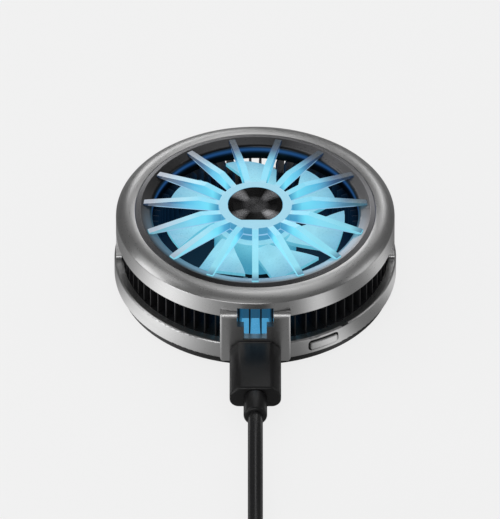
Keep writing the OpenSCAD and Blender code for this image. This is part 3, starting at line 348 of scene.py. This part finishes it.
def lower_line(tree, start, low, rise, width):
    """A mask along a spoke's lower edge, from its start radius, its height there and its rise outward."""
    polar = place(tree, "Round the axis")
    out = math_node(tree, "MULTIPLY", math_node(tree, "SUBTRACT", polar["Radius"], start), rise)
    above = math_node(tree, "SUBTRACT", math_node(tree, "SUBTRACT", polar["Height"], low), out)
    return math_node(tree, "MULTIPLY", spread(tree, above, width * 0.6, width * 1.3, 1.0, 0.0),
                     spread(tree, above, -width * 0.8, -width * 0.4))


def facing_up(tree):
    normal = tree.nodes.new("ShaderNodeNewGeometry").outputs["Normal"]
    return spread(tree, put(tree, "ShaderNodeSeparateXYZ", {0: normal}).outputs[2], 0.35, 0.75)


# Edge easing and grain that the lit plastics share
PLASTIC_EDGE = 0.00012
PLASTIC_GRAIN = {"Scale": 1500.0, "Cloud": 260.0}


def lit_plastic(name, tops, sides, base, roughness=0.25, strength=1.0, rise=None):
    """Plastic that carries light outward from the hub, with painted light on its tops and eased edges,
    painted shade on its sides, and painted shade low down where a rise is given.
    """
    made, tree, shader = new_material(name)
    edges = place(tree, "Eased edge", Radius=PLASTIC_EDGE)
    texture = place(tree, "Fine grain", **PLASTIC_GRAIN)
    # paler eased edges are a painted highlight; tops paler than sides are painted light and painted shade
    edge_light = (0.45, 0.68, 0.82)
    glow = mix_colour(tree, facing_up(tree), radial_colour(tree, sides), radial_colour(tree, tops))
    glow = mix_colour(tree, math_node(tree, "MULTIPLY", edges["Edge"], 0.45), glow, edge_light)
    soft = mix_colour(tree, texture["Cloud"], (0.90, 0.90, 0.90), (1.0, 1.0, 1.0))
    # painted shade on the lower parts, giving way upward
    if rise:
        up = spread(tree, place(tree, "Round the axis")["Height"], *rise)
        soft = mix_colour(tree, up, (0.42, 0.62, 0.72), soft)
    feed(tree, shader, Base_Color=mix_colour(tree, texture["Cloud"], tint(base, 0.9), tint(base, 1.05)),
         Roughness=spread(tree, texture["Grain"], 0.3, 0.7, roughness * 0.8, roughness * 1.2),
         Emission_Color=mix_colour(tree, 1.0, glow, soft, "MULTIPLY"), Emission_Strength=strength,
         Normal=edges["Normal"])
    return made


# Turns of the grille's left spokes, where painted light from the side falls on their tops, and of its front
# spokes, which have painted levels of their own, in degrees from the right
LEFT_SPOKES, FRONT_SPOKES = 178, 275
# Distances from the axis over which a spoke's lower line, its painted edge highlights and its colour fade
RIM_FADE, EDGE_FADE, BASE_FADE = (0.023, 0.024), (0.018, 0.023), (0.012, 0.021)


def clear_plastic(name, looks, solids, rim, rim_light, base, roughness):
    """Clear plastic lit from the hub, from stops for its tops and sides, back, front and left, with painted
    light on its tops and eased edges, painted shade on its sides, painted light from the side on the left
    spokes and painted levels of their own on the front spokes.
    """
    made, tree, shader = new_material(name)
    edges = place(tree, "Eased edge", Radius=PLASTIC_EDGE)
    texture = place(tree, "Fine grain", **PLASTIC_GRAIN)
    # paler eased edges are a painted highlight
    edge_light = (0.42, 0.60, 0.74)
    upward = facing_up(tree)
    polar = place(tree, "Round the axis")
    # painted light from the side on the left spokes' tops, and the front spokes' own painted levels
    painted_left_light = toward(tree, polar["Turn"], LEFT_SPOKES, 0.35, 0.85)
    fore = toward(tree, polar["Turn"], FRONT_SPOKES, -0.1, 0.45)

    def over(tops, fore_tops, lit_tops, sides, fore_sides):
        above = mix_colour(tree, painted_left_light, mix_colour(tree, fore, tops, fore_tops), lit_tops)
        return mix_colour(tree, upward, mix_colour(tree, fore, sides, fore_sides), above)

    line = math_node(tree, "MULTIPLY", lower_line(tree, **rim),
                     math_node(tree, "MULTIPLY", spread(tree, polar["Radius"], *RIM_FADE, 1.0, 0.0),
                               math_node(tree, "SUBTRACT", 1.0, upward)))
    glow = mix_colour(tree, line, over(*(radial_colour(tree, stops) for stops in looks)), rim_light)
    # painted highlights along eased edges, fading outward
    lined = math_node(tree, "MULTIPLY", edges["Edge"], spread(tree, polar["Radius"], *EDGE_FADE, 0.5, 0.05))
    glow = mix_colour(tree, lined, glow, edge_light)
    greys = ([(radius, (share,) * 3) for radius, share in stops] for stops in solids)
    solid = math_node(tree, "MAXIMUM", over(*(radial_colour(tree, stops) for stops in greys)),
                      math_node(tree, "MAXIMUM", lined, math_node(tree, "MULTIPLY", line, 0.8)))
    clouded = mix_colour(tree, texture["Cloud"], tint(base, 0.9), tint(base, 1.05))
    fall = spread(tree, polar["Radius"], *BASE_FADE, 1.0, 0.25)
    feed(tree, shader, Base_Color=mix_colour(tree, 1.0, clouded, fall, "MULTIPLY"),
         Roughness=spread(tree, texture["Grain"], 0.3, 0.7, roughness * 0.8, roughness * 1.2),
         Emission_Color=glow, Emission_Strength=1.0, Alpha=solid, Normal=edges["Normal"])
    return made


# Piece helpers
def dress(finish, *names):
    for name in names:
        slots = NODES[name].data.materials
        slots.clear()
        slots.append(finish)


def finished(name, bm, finish, body, node):
    """Turns a bmesh into a smooth piece that rides on a body and stands for a CAD node."""
    bmesh.ops.remove_doubles(bm, verts=bm.verts, dist=1e-7)
    bmesh.ops.recalc_face_normals(bm, faces=bm.faces)
    mesh = bpy.data.meshes.new(name)
    bm.to_mesh(mesh)
    bm.free()
    piece = bpy.data.objects.new(name, mesh)
    bpy.context.scene.collection.objects.link(piece)
    mesh.materials.append(finish)
    mesh.shade_smooth()
    mesh.set_sharp_from_angle(angle=math.radians(35))
    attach(piece, body)
    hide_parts(node)


def block(low, high):
    """A plain block between two corners."""
    bm = bmesh.new()
    bmesh.ops.create_cube(bm, size=1.0, matrix=Matrix.Translation((low + high) / 2)
                          @ Matrix.Diagonal((*(high - low), 1.0)))
    return bm


def edges_along(bm, axis):
    return [e for e in bm.edges if abs((e.verts[0].co - e.verts[1].co).normalized()[axis]) > 0.9]


def sharp_edges(bm, least):
    return [e for e in bm.edges if len(e.link_faces) == 2 and e.calc_face_angle(0.0) > math.radians(least)]


def ease(bm, edges, width, segments):
    bmesh.ops.bevel(bm, geom=edges, offset=width, offset_type="OFFSET", affect="EDGES", segments=segments,
                    profile=0.5, material=-1, clamp_overlap=True)


class CoolerOperator:
    """What the cooler's operators share"""
    bl_options = {"REGISTER", "UNDO"}

    @property
    def finishes(self):
        return bpy.context.scene.cooler_finishes

    @property
    def lead(self):
        return bpy.context.scene.cooler_lead

    @property
    def stage(self):
        return bpy.context.scene.cooler_stage


# Stage
# Each softbox: name, turn from the front to the right and lift in degrees, width, height and level
LAMPS = [("front_softbox", 345, 28, 0.75, 0.45, 2.0), ("right_softbox", 95, 28, 0.5, 0.45, 0.9),
         ("back_left_softbox", 189, 28, 0.28, 0.28, 1.9), ("back_right_softbox", 165, 34, 0.28, 0.28, 1.3),
         ("high_back_softbox", 176, 56, 0.3, 0.3, 1.1), ("left_softbox", 268, 30, 0.5, 0.45, 1.6),
         ("high_left_softbox", 252, 52, 0.5, 0.45, 0.6), ("top_softbox", 140, 74, 0.8, 0.45, 0.5),
         ("low_left_softbox", 300, 8, 0.5, 0.35, 2.4)]
# Each pool of light that metal sees on the floor: turn from the right and spread in degrees, and level
POOLS = [(215, 24, 1.2), (308, 10, 0.8), (357, 12, 0.6)]
# The point, in millimetres, at the middle of the picture
AIM = (-1.24, 0.0, 5.5)
WHITE = (1.0, 1.0, 1.0)


class COOLER_OT_stage(CoolerOperator, bpy.types.Operator):
    """Set the camera, the pale floor and the soft lamps"""
    bl_idname = "cooler.stage"
    bl_label = "Stage"

    def shown(self, tree, level, mirrored):
        """The pale level as the camera sees it, and another level in reflections."""
        path = tree.nodes.new("ShaderNodeLightPath").outputs
        bright = spread(tree, path["Is Glossy Ray"], 0.0, 1.0, level, mirrored)
        seen = math_node(tree, "MAXIMUM", path["Is Camera Ray"],
                         math_node(tree, "MAXIMUM", path["Is Glossy Ray"], path["Is Transmission Ray"]))
        return seen, bright

    def pools(self, tree, level):
        """The floor's level in reflections, with its pools of light."""
        turn = place(tree, "Round the axis")["Turn"]
        for middle, width, height in POOLS:
            off = math_node(tree, "SUBTRACT", turn, math.radians(middle))
            off = put(tree, "ShaderNodeMath", {0: off, 1: math.pi, 2: -math.pi}, operation="WRAP").outputs[0]
            off = math_node(tree, "DIVIDE", off, math.radians(width))
            fall = math_node(tree, "POWER", math.exp(-1.0), math_node(tree, "MULTIPLY", off, off))
            level = math_node(tree, "ADD", math_node(tree, "MULTIPLY", fall, height), level)
        return level

    def execute(self, context):
        scene = context.scene
        scene.view_settings.view_transform = "Standard"
        self.floor(scene)
        self.world(scene)
        for lamp in LAMPS:
            self.lamp(scene, *lamp)
        self.camera(scene)
        return {"FINISHED"}

    def floor(self, scene):
        stage = self.stage
        level = stage.pale
        bm = bmesh.new()
        bmesh.ops.create_grid(bm, x_segments=1, y_segments=1, size=stage.floor_half,
                              matrix=Matrix.Translation((0.0, 0.0, -stage.floor_gap)))
        mesh = bpy.data.meshes.new("floor")
        bm.to_mesh(mesh)
        bm.free()
        floor = bpy.data.objects.new("floor", mesh)
        scene.collection.objects.link(floor)
        made = bpy.data.materials.new("pale_floor")
        made.use_nodes = True
        tree = made.node_tree
        tree.nodes.remove(tree.nodes["Principled BSDF"])
        texture = place(tree, "Fine grain", Scale=900.0, Cloud=6.0)
        shade = put(tree, "ShaderNodeBsdfDiffuse", {"Color": mix_colour(
            tree, texture["Cloud"], (level * 0.99,) * 3, (level,) * 3)}).outputs[0]
        seen, bright = self.shown(tree, level, self.pools(tree, stage.under))
        pale = put(tree, "ShaderNodeEmission", {"Strength": bright}).outputs[0]
        share = math_node(tree, "MULTIPLY", seen, 0.9)
        mixed = put(tree, "ShaderNodeMixShader", {0: share, 1: shade, 2: pale})
        tree.links.new(mixed.outputs[0], tree.nodes["Material Output"].inputs["Surface"])
        mesh.materials.append(made)

    def world(self, scene):
        world = bpy.data.worlds.new("studio")
        scene.world = world
        world.use_nodes = True
        tree = world.node_tree
        tree.nodes.clear()
        seen, bright = self.shown(tree, self.stage.pale, self.stage.around)
        soft = put(tree, "ShaderNodeBackground", {"Color": WHITE, "Strength": self.stage.soft}).outputs[0]
        pale = put(tree, "ShaderNodeBackground", {"Color": WHITE, "Strength": bright}).outputs[0]
        mixed = put(tree, "ShaderNodeMixShader", {0: seen, 1: soft, 2: pale})
        last = tree.nodes.new("ShaderNodeOutputWorld")
        tree.links.new(mixed.outputs[0], last.inputs["Surface"])

    def camera(self, scene):
        stage = self.stage
        camera = bpy.data.cameras.new("camera")
        camera.sensor_fit = "AUTO"
        camera.sensor_width = 36.0
        camera.lens = camera.sensor_width * stage.distance / stage.view_width
        camera.clip_end = 50.0
        holder = bpy.data.objects.new("camera", camera)
        away = Vector((0.0, -math.cos(stage.elevation), math.sin(stage.elevation)))
        holder.location = Vector(AIM) * MM + stage.distance * away
        holder.rotation_euler = (math.pi / 2 - stage.elevation, 0.0, 0.0)
        scene.collection.objects.link(holder)
        scene.camera = holder

    def lamp(self, scene, name, turn, lift, width, height, level):
        turn, lift = math.radians(turn), math.radians(lift)
        level_out = math.cos(lift)
        heading = Vector((level_out * math.sin(turn), -level_out * math.cos(turn), math.sin(lift)))
        spot = self.stage.lamp_reach * heading
        lamp = bpy.data.lights.new(name, "AREA")
        lamp.shape = "RECTANGLE"
        lamp.size, lamp.size_y = width, height
        lamp.energy = level * math.pi * width * height
        holder = bpy.data.objects.new(name, lamp)
        holder.location = spot
        holder.rotation_euler = spot.to_track_quat("Z", "Y").to_euler()
        scene.collection.objects.link(holder)


# Lead
# Routes in millimetres, as in the part's source; the coil stands for the points where they meet it
LEAD_POINTS = [(0, -57.5, 5.63), (0, -61, 5.63), (0, -68, 5.1), (0, -76, 4), (0, -84, 3), (0, -92, 2.5),
               (0, -100, 2.3), (0, -108, 2.3), (0, -117, 2.3), (0, -125, 2.3)]
TAIL_POINTS = [(0, -132, 6.25), (0, -134, 6.25), (0.9, -138.6, 7.4), (3.5, -142.5, 9), (7.4, -145.1, 10.6),
               (12, -146, 11.6), (14, -146, 11.8), (17, -146, 11.8)]
COIL_CENTRE = (27.4, -128.5, 2.3)


class COOLER_OT_lead(CoolerOperator, bpy.types.Operator):
    """Lay the lead out of its collar, round its coil and into the far plug"""
    bl_idname = "cooler.lead"
    bl_label = "Lead"

    def coil(self):
        """Points round the coil, inward in its lower layer and outward in its upper one."""
        lead = self.lead
        inner = lead.coil_r - lead.coil_step * lead.coil_turns / 2
        per_turn = 36
        for i in range(per_turn * lead.coil_turns + 1):
            t = i / per_turn
            half = t - lead.coil_turns / 2
            reach = inner + lead.coil_step * abs(half)
            rise = lead.coil_step * min(1.0, max(0.0, (half + 0.25) / 0.5))
            turn = math.pi + 2 * math.pi * t
            yield Vector(COIL_CENTRE) * MM + Vector((reach * math.cos(turn), reach * math.sin(turn), rise))

    def execute(self, context):
        lead = self.lead
        route = [Vector(p) * MM for p in LEAD_POINTS[:-1]]
        turns = list(self.coil())
        route += [turns[0] + Vector((0, lead.cord_d, 0))] + turns + [turns[-1] - Vector((0, lead.cord_d, 0))]
        route += [Vector(p) * MM for p in TAIL_POINTS[1:]]
        curve = bpy.data.curves.new("lead_cord", "CURVE")
        curve.dimensions = "3D"
        curve.bevel_depth = lead.cord_d / 2
        curve.bevel_resolution = 5
        curve.resolution_u = 4
        curve.use_fill_caps = True
        spline = curve.splines.new("BEZIER")
        spline.bezier_points.add(len(route) - 1)
        for point, spot in zip(spline.bezier_points, route):
            point.co = spot
            point.handle_left_type = point.handle_right_type = "AUTO"
        piece = bpy.data.objects.new("lead_cord", curve)
        context.scene.collection.objects.link(piece)
        curve.materials.append(grained("lead_sheath", self.finishes.sheath_black, 0.24, grain=3200.0,
                                       cloud=60.0, depth=0.000002, specular=0.5))
        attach(piece, "lead")
        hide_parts("cable_lead", "cable_coil", "cable_tail")
        far_end = [NODES[n] for n in ("usb_a_shell", "usb_a_tongue")]
        far_end += [bpy.data.objects[n] for n in ("far_plug_body", "tie_band")]
        return {"FINISHED"}


class COOLER_OT_plugs(CoolerOperator, bpy.types.Operator):
    """Mould the bodies and collars of both plugs"""
    bl_idname = "cooler.plugs"
    bl_label = "Plugs"

    def body(self, low, high, axis, corner, steps):
        """A bar whose upper and lower edges along one axis are cut in steps and whose ends are eased."""
        bm = block(low, high)
        along = edges_along(bm, axis)
        middle = (low.z + high.z) / 2
        upper = [e for e in along if e.verts[0].co.z > middle]
        lower = [e for e in along if e.verts[0].co.z < middle]
        for edges, cuts in zip((upper, lower), steps):
            ease(bm, edges, corner, cuts)
        ease(bm, sharp_edges(bm, 30.0), self.lead.edge_round, 4)
        return bm

    def collar(self, bm, start, end, radius):
        """Adds a round collar with eased ends between two points."""
        heading = end - start
        turn = heading.to_track_quat("Z", "Y").to_matrix().to_4x4()
        made = bmesh.ops.create_cone(bm, cap_ends=True, segments=48, radius1=radius, radius2=radius,
                                     depth=heading.length,
                                     matrix=Matrix.Translation((start + end) / 2) @ turn)["verts"]
        ease(bm, [e for e in sharp_edges(bm, 60.0) if e.verts[0] in made], self.lead.edge_round, 3)

    def execute(self, context):
        moulded = grained("moulded_black", self.finishes.moulded_black, 0.36, grain=2600.0, cloud=140.0,
                          depth=0.000001, edge_gain=1.6, specular=0.4)
        low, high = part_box("plug_overmold")
        bm = self.body(low, high, axis=1, corner=self.lead.plug_corner, steps=(1, 8))
        finished("front_plug_body", bm, moulded, "lead", "plug_overmold")

        low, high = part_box("strain_relief")
        middle = (low + high) / 2
        bm = bmesh.new()
        self.collar(bm, Vector((middle.x, high.y, middle.z)), Vector((middle.x, low.y, middle.z)),
                    (high.x - low.x) / 2)
        finished("front_plug_collar", bm, moulded, "lead", "strain_relief")

        low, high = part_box("usb_a_overmold")
        neck = self.lead.far_collar
        middle = (low + high) / 2
        bm = self.body(low + Vector((neck, 0, 0)), high, axis=0, corner=self.lead.far_corner, steps=(8, 8))
        self.collar(bm, Vector((low.x + neck, middle.y, middle.z)), Vector((low.x, middle.y, middle.z)),
                    self.lead.far_collar_d / 2)
        finished("far_plug_body", bm, moulded, "lead", "usb_a_overmold")

        steel = grained("plug_steel", (0.55, 0.56, 0.57), 0.22, 1.0, grain=1800.0, edge_gain=1.25)
        dress(steel, "plug_shell", "usb_a_shell", "usb_c_socket")
        dress(grained("tongue_white", (0.72, 0.72, 0.70), 0.5, grain=1800.0), "usb_a_tongue")
        dress(grained("tongue_black", (0.02, 0.02, 0.02), 0.45), "socket_tongue")
        return {"FINISHED"}


class COOLER_OT_tie(CoolerOperator, bpy.types.Operator):
    """Wrap the tie round the coil's turns"""
    bl_idname = "cooler.tie"
    bl_label = "Tie"

    def execute(self, context):
        low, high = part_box("cable_tie")
        wall = self.lead.tie_t
        bm = block(low, high)
        ends = [f for f in bm.faces if abs(f.normal.y) > 0.9]
        bmesh.ops.inset_individual(bm, faces=ends, thickness=wall)
        bmesh.ops.bridge_loops(bm, edges=[e for f in ends for e in f.edges])
        bmesh.ops.delete(bm, geom=ends, context="FACES_ONLY")
        ease(bm, edges_along(bm, 1), wall * 0.9, 4)
        ease(bm, sharp_edges(bm, 60.0), wall * 0.25, 2)
        rubber = grained("tie_rubber", (0.016, 0.016, 0.017), 0.6, grain=1500.0)
        finished("tie_band", bm, rubber, "lead", "cable_tie")
        return {"FINISHED"}


# Housing
# A stop below is a distance from the axis, or a height where it says so, and the light or solidity there
DARK = (0.0, 0.0, 0.0)
# Distances from the axis between which the inlet ring's wall turns into its funnel, and that into its lip
WALL_TO_FUNNEL, FUNNEL_TO_LIP = (0.0243, 0.0249), (0.0268, 0.0271)
# Turns where painted highlights make its funnel and its lip palest, in degrees from the right
PAINTED_FUNNEL_HIGHLIGHT, PAINTED_LIP_HIGHLIGHT = 330, 82
# Sines of the turns between which the front light grows, in the inlet ring and in the fins behind the window
INLET_FRONT, WINDOW_FRONT = (0.1, -0.8), (-0.962, -0.99)
# Distances from the axis between which the cap's plain middle gives way to its four painted highlights
CAP_MIDDLE = (0.0022, 0.0034)
# Shares of the fan's height over which the painted shade on its blades gives way upward
BLADE_PAINTED_SHADE = (0.25, 0.85)


class COOLER_OT_rings(CoolerOperator, bpy.types.Operator):
    """Finish the metal rings, the bracket, the button and the inlet ring"""
    bl_idname = "cooler.rings"
    bl_label = "Rings"

    def execute(self, context):
        look = self.finishes
        dress(turned_metal("ring_metal", look.ring_metal, 0.30, anisotropic=0.7), "top_ring", "lower_shell")
        dress(turned_metal("button_metal", look.ring_metal, 0.30, edge=0.0007), "power_button")
        duct = look.duct_light
        by_height = [(0.0179, DARK), (0.0184, tint(duct, 0.15)), (0.0188, tint(duct, 0.8)), (0.0192, duct),
                     (0.0196, tint(duct, 0.3)), (0.0199, DARK)]
        front = [(0.0241, look.front_light), (0.0256, look.front_light), (0.0268, DARK)]
        # the inlet ring's colour gain is painted shade and painted highlights, and its eased edges a painted
        # highlight
        dress(turned_metal("inlet_metal", look.inlet_metal, 0.30, edge=0.00015, edge_gain=1.2,
                           anisotropic=0.4, gain=self.painted_inlet_light,
                           glow=(by_height, front, *INLET_FRONT, "Height")), "inlet_ring")
        return {"FINISHED"}

    def painted_inlet_light(self, tree):
        """Painted shade on the duct's wall; on the funnel and the lip, painted highlights toward the funnel's
        right side and the lip's back, and painted shade away from them.
        """
        polar = place(tree, "Round the axis")
        funnel = toward(tree, polar["Turn"], PAINTED_FUNNEL_HIGHLIGHT, -0.25, 0.3, 0.55, 3.2)
        lip = toward(tree, polar["Turn"], PAINTED_LIP_HIGHLIGHT, -0.9, -0.35, 0.45, 3.6)
        inner = spread(tree, polar["Radius"], *WALL_TO_FUNNEL, 0.3, funnel)
        return spread(tree, polar["Radius"], *FUNNEL_TO_LIP, inner, lip)


class COOLER_OT_grille(CoolerOperator, bpy.types.Operator):
    """Light the grille and finish its cap"""
    bl_idname = "cooler.grille"
    bl_label = "Grille"

    def execute(self, context):
        look = self.finishes
        hub = [(0.0066, look.hub_light), (0.0086, look.hub_light), (0.0095, look.top_near)]
        tops = hub + [(0.0125, look.top_near), (0.0170, look.top_mid), (0.0215, look.top_wide),
                      (0.0240, look.top_far)]
        fore_tops = hub + [(0.0125, look.top_near), (0.0165, look.fore_top), (0.0235, look.fore_top),
                           (0.0262, look.fore_tip)]
        lit_tops = hub + [(0.0125, look.top_near), (0.0165, look.lit_mid), (0.0215, look.lit_wide),
                          (0.0245, look.lit_far)]
        skirt = [(0.0074, look.skirt_light), (0.0088, look.skirt_light)]
        sides = skirt + [(0.0110, look.side_near), (0.0160, look.side_mid), (0.0200, look.side_wide),
                         (0.0235, look.side_far)]
        fore_sides = skirt + [(0.0104, tint(look.skirt_light, 1.3)), (0.0125, look.side_near),
                              (0.0160, look.fore_side), (0.0235, look.fore_side)]
        top_solid = [(0.0110, 1.0), (0.0160, 0.85), (0.0200, 0.78), (0.0240, 0.75)]
        lit_solid = [(0.0110, 1.0), (0.0240, 0.85)]
        side_solid = [(0.0110, 1.0), (0.0145, 0.85), (0.0185, 0.78), (0.0220, 0.70)]
        fore_solid = [(0.0110, 1.0), (0.0262, 0.90)]
        rim = {"start": 0.0078, "low": 0.0199, "rise": 0.0203, "width": 0.00025}
        dress(clear_plastic("grille_light", (tops, fore_tops, lit_tops, sides, fore_sides),
                            (top_solid, fore_solid, lit_solid, side_solid, fore_solid), rim,
                            look.spoke_rim, (0.08, 0.16, 0.20), 0.2), "light_grille")
        # the cap's four bright rays are painted highlights in its colour, with painted shade between them
        dress(turned_metal("cap_metal", look.cap_metal, 0.26, pitch=14000.0, anisotropic=0.6,
                           gain=self.streaks), "hub_cap")
        dress(grained("light_board", (0.75, 0.77, 0.77), 0.5, grain=1500.0), "led_board")
        cyan = [(0.0, (0.5, 0.9, 1.0)), (0.01, (0.5, 0.9, 1.0))]
        dress(lit_plastic("light_chip", cyan, cyan, (0.6, 0.7, 0.7), strength=4.0), "led_chips")
        return {"FINISHED"}

    def streaks(self, tree):
        """Four painted highlights, each a streak out from the spun cap's plain middle, with painted shade
        between them.
        """
        polar = place(tree, "Round the axis")
        four = math_node(tree, "MULTIPLY", polar["Turn"], 4.0)
        streak = toward(tree, four, 180, 0.1, 1.0, 0.12, 4.2)
        return spread(tree, polar["Radius"], *CAP_MIDDLE, 1.1, streak)


class COOLER_OT_fan(CoolerOperator, bpy.types.Operator):
    """Finish the fan and its motor"""
    bl_idname = "cooler.fan"
    bl_label = "Fan"

    def execute(self, context):
        look = self.finishes
        tops = [(0.0096, look.blade_near), (0.0145, look.blade_near), (0.0209, look.blade_far)]
        sides = [(0.0090, look.blade_side), (0.0209, look.blade_side)]
        low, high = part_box("impeller")
        rise = [low.z + share * (high.z - low.z) for share in BLADE_PAINTED_SHADE]
        dress(lit_plastic("blade_light", tops, sides, (0.12, 0.20, 0.23), 0.3, rise=rise), "impeller")
        steel = grained("rotor_steel", (0.50, 0.51, 0.52), 0.3, 1.0, grain=1800.0)
        dress(steel, "rotor_yoke", "fan_shaft", "stator_core")
        dress(grained("rotor_ferrite", (0.03, 0.03, 0.032), 0.6, grain=1600.0), "rotor_magnet")
        dress(grained("sleeve_bronze", (0.55, 0.38, 0.15), 0.35, 1.0), "bearing_sleeve")
        dress(grained("thrust_nylon", (0.75, 0.74, 0.70), 0.5), "thrust_pad")
        dress(grained("coil_copper", (0.62, 0.28, 0.12), 0.3, 1.0, grain=5200.0, depth=0.00001),
              "stator_coils")
        dress(grained("motor_moulding", (0.02, 0.022, 0.024), 0.5), "motor_base")
        dress(grained("ribbon_white", (0.65, 0.66, 0.66), 0.5), "fan_lead")
        return {"FINISHED"}


class COOLER_OT_fins(CoolerOperator, bpy.types.Operator):
    """Finish the black heatsink"""
    bl_idname = "cooler.fins"
    bl_label = "Fins"

    def execute(self, context):
        look = self.finishes
        glow = [(0.012, look.floor_light), (0.0228, look.floor_light), (0.0245, tint(look.floor_light, 0.3)),
                (0.0290, DARK)]
        window = [(0.0200, look.gap_light), (0.0275, look.gap_light), (0.0288, DARK)]
        dress(grained("fin_black", look.fin_black, 0.42, grain=2200.0, edge=0.00008, edge_gain=2.0,
                      specular=0.25, glow=(glow, window, *WINDOW_FRONT)), "heatsink")
        glow = [(0.024, look.window_light), (0.031, look.window_light)]
        dress(lit_plastic("window_light", glow, glow, (0.05, 0.12, 0.15)), "window_lens")
        return {"FINISHED"}


class COOLER_OT_base(CoolerOperator, bpy.types.Operator):
    """Finish the base, the soft pad, the cold plate and the screws"""
    bl_idname = "cooler.base"
    bl_label = "Base"

    def pad(self, finish):
        """The soft pad, turned from a section whose corners are eased."""
        low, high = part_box("contact_pad")
        inner = min(math.hypot(v.co.x, v.co.y) for v in NODES["contact_pad"].data.vertices)
        bm = bmesh.new()
        corners = [bm.verts.new(spot) for spot in ((inner, 0, low.z), (high.x, 0, low.z), (high.x, 0, high.z),
                                                   (inner, 0, high.z))]
        section = [bm.edges.new((a, b)) for a, b in zip(corners, corners[1:] + corners[:1])]
        bmesh.ops.spin(bm, geom=corners + section, axis=(0, 0, 1), cent=(0, 0, 0), angle=2 * math.pi,
                       steps=160)
        bmesh.ops.remove_doubles(bm, verts=bm.verts, dist=1e-7)
        bmesh.ops.recalc_face_normals(bm, faces=bm.faces)
        ease(bm, sharp_edges(bm, 60.0), (high.z - low.z) * 0.3, 3)
        finished("soft_pad", bm, finish, "housing", "contact_pad")

    def execute(self, context):
        dress(grained("base_black", self.finishes.moulded_black, 0.55, grain=1900.0), "base_cover")
        self.pad(grained("pad_silicone", (0.022, 0.022, 0.023), 0.7, grain=1300.0, depth=0.000008))
        dress(turned_metal("cold_metal", (0.62, 0.63, 0.64), 0.26, pitch=7000.0), "cold_plate")
        dress(grained("screw_steel", (0.40, 0.41, 0.42), 0.3, 1.0), "case_screws")
        return {"FINISHED"}


class COOLER_OT_inner(CoolerOperator, bpy.types.Operator):
    """Finish the electronics and the cooling stack inside"""
    bl_idname = "cooler.inner"
    bl_label = "Inner parts"

    def execute(self, context):
        dress(grained("board_green", (0.012, 0.085, 0.035), 0.35, grain=1200.0, cloud=500.0), "control_board")
        dress(grained("chip_black", (0.018, 0.018, 0.019), 0.5), "board_components")
        dress(grained("switch_metal", (0.5, 0.5, 0.5), 0.3, 1.0), "tact_switch")
        dress(grained("plunger_black", (0.02, 0.02, 0.02), 0.5), "switch_plunger")
        dress(grained("tile_ceramic", (0.78, 0.78, 0.75), 0.5, grain=1400.0), "peltier_hot_plate",
              "peltier_cold_plate")
        dress(grained("pellet_grey", (0.25, 0.25, 0.27), 0.45, 0.6), "peltier_pellets")
        dress(grained("wire_red", (0.42, 0.02, 0.02), 0.5), "peltier_leads")
        dress(grained("foam_grey", (0.05, 0.05, 0.05), 0.9, grain=1100.0, depth=0.00003), "insulation_frame")
        dress(grained("magnet_nickel", (0.45, 0.46, 0.47), 0.25, 1.0), "magnets")
        dress(grained("backing_steel", (0.40, 0.41, 0.42), 0.35, 1.0), "magnet_backing")
        return {"FINISHED"}


class COOLER_PT_sidebar(bpy.types.Panel):
    """The cooler's pieces, in the order of making"""
    bl_idname = "COOLER_PT_sidebar"
    bl_label = "Phone Cooler"
    bl_space_type = "VIEW_3D"
    bl_region_type = "UI"
    bl_category = "Cooler"

    def draw(self, context):
        for group in (context.scene.cooler_finishes, context.scene.cooler_lead, context.scene.cooler_stage):
            for name in group.__annotations__:
                self.layout.prop(group, name)
        for operator in OPERATORS:
            self.layout.operator(operator.bl_idname)


OPERATORS = (COOLER_OT_stage, COOLER_OT_plugs, COOLER_OT_tie, COOLER_OT_lead, COOLER_OT_rings,
             COOLER_OT_grille, COOLER_OT_fan, COOLER_OT_fins, COOLER_OT_base, COOLER_OT_inner)
CLASSES = (CoolerFinishes, CoolerLead, CoolerStage, *OPERATORS, COOLER_PT_sidebar)


def register():
    for cls in CLASSES:
        bpy.utils.register_class(cls)
    bpy.types.Scene.cooler_finishes = PointerProperty(type=CoolerFinishes)
    bpy.types.Scene.cooler_lead = PointerProperty(type=CoolerLead)
    bpy.types.Scene.cooler_stage = PointerProperty(type=CoolerStage)


def unregister():
    for name in ("cooler_stage", "cooler_lead", "cooler_finishes"):
        delattr(bpy.types.Scene, name)
    for cls in reversed(CLASSES):
        bpy.utils.unregister_class(cls)


def main():
    register()
    make_groups()
    bpy.ops.cooler.stage()
    bpy.ops.cooler.plugs()
    bpy.ops.cooler.tie()
    bpy.ops.cooler.lead()
    bpy.ops.cooler.rings()
    bpy.ops.cooler.grille()
    bpy.ops.cooler.fan()
    bpy.ops.cooler.fins()
    bpy.ops.cooler.base()
    bpy.ops.cooler.inner()


if __name__ == "__main__":
    main()
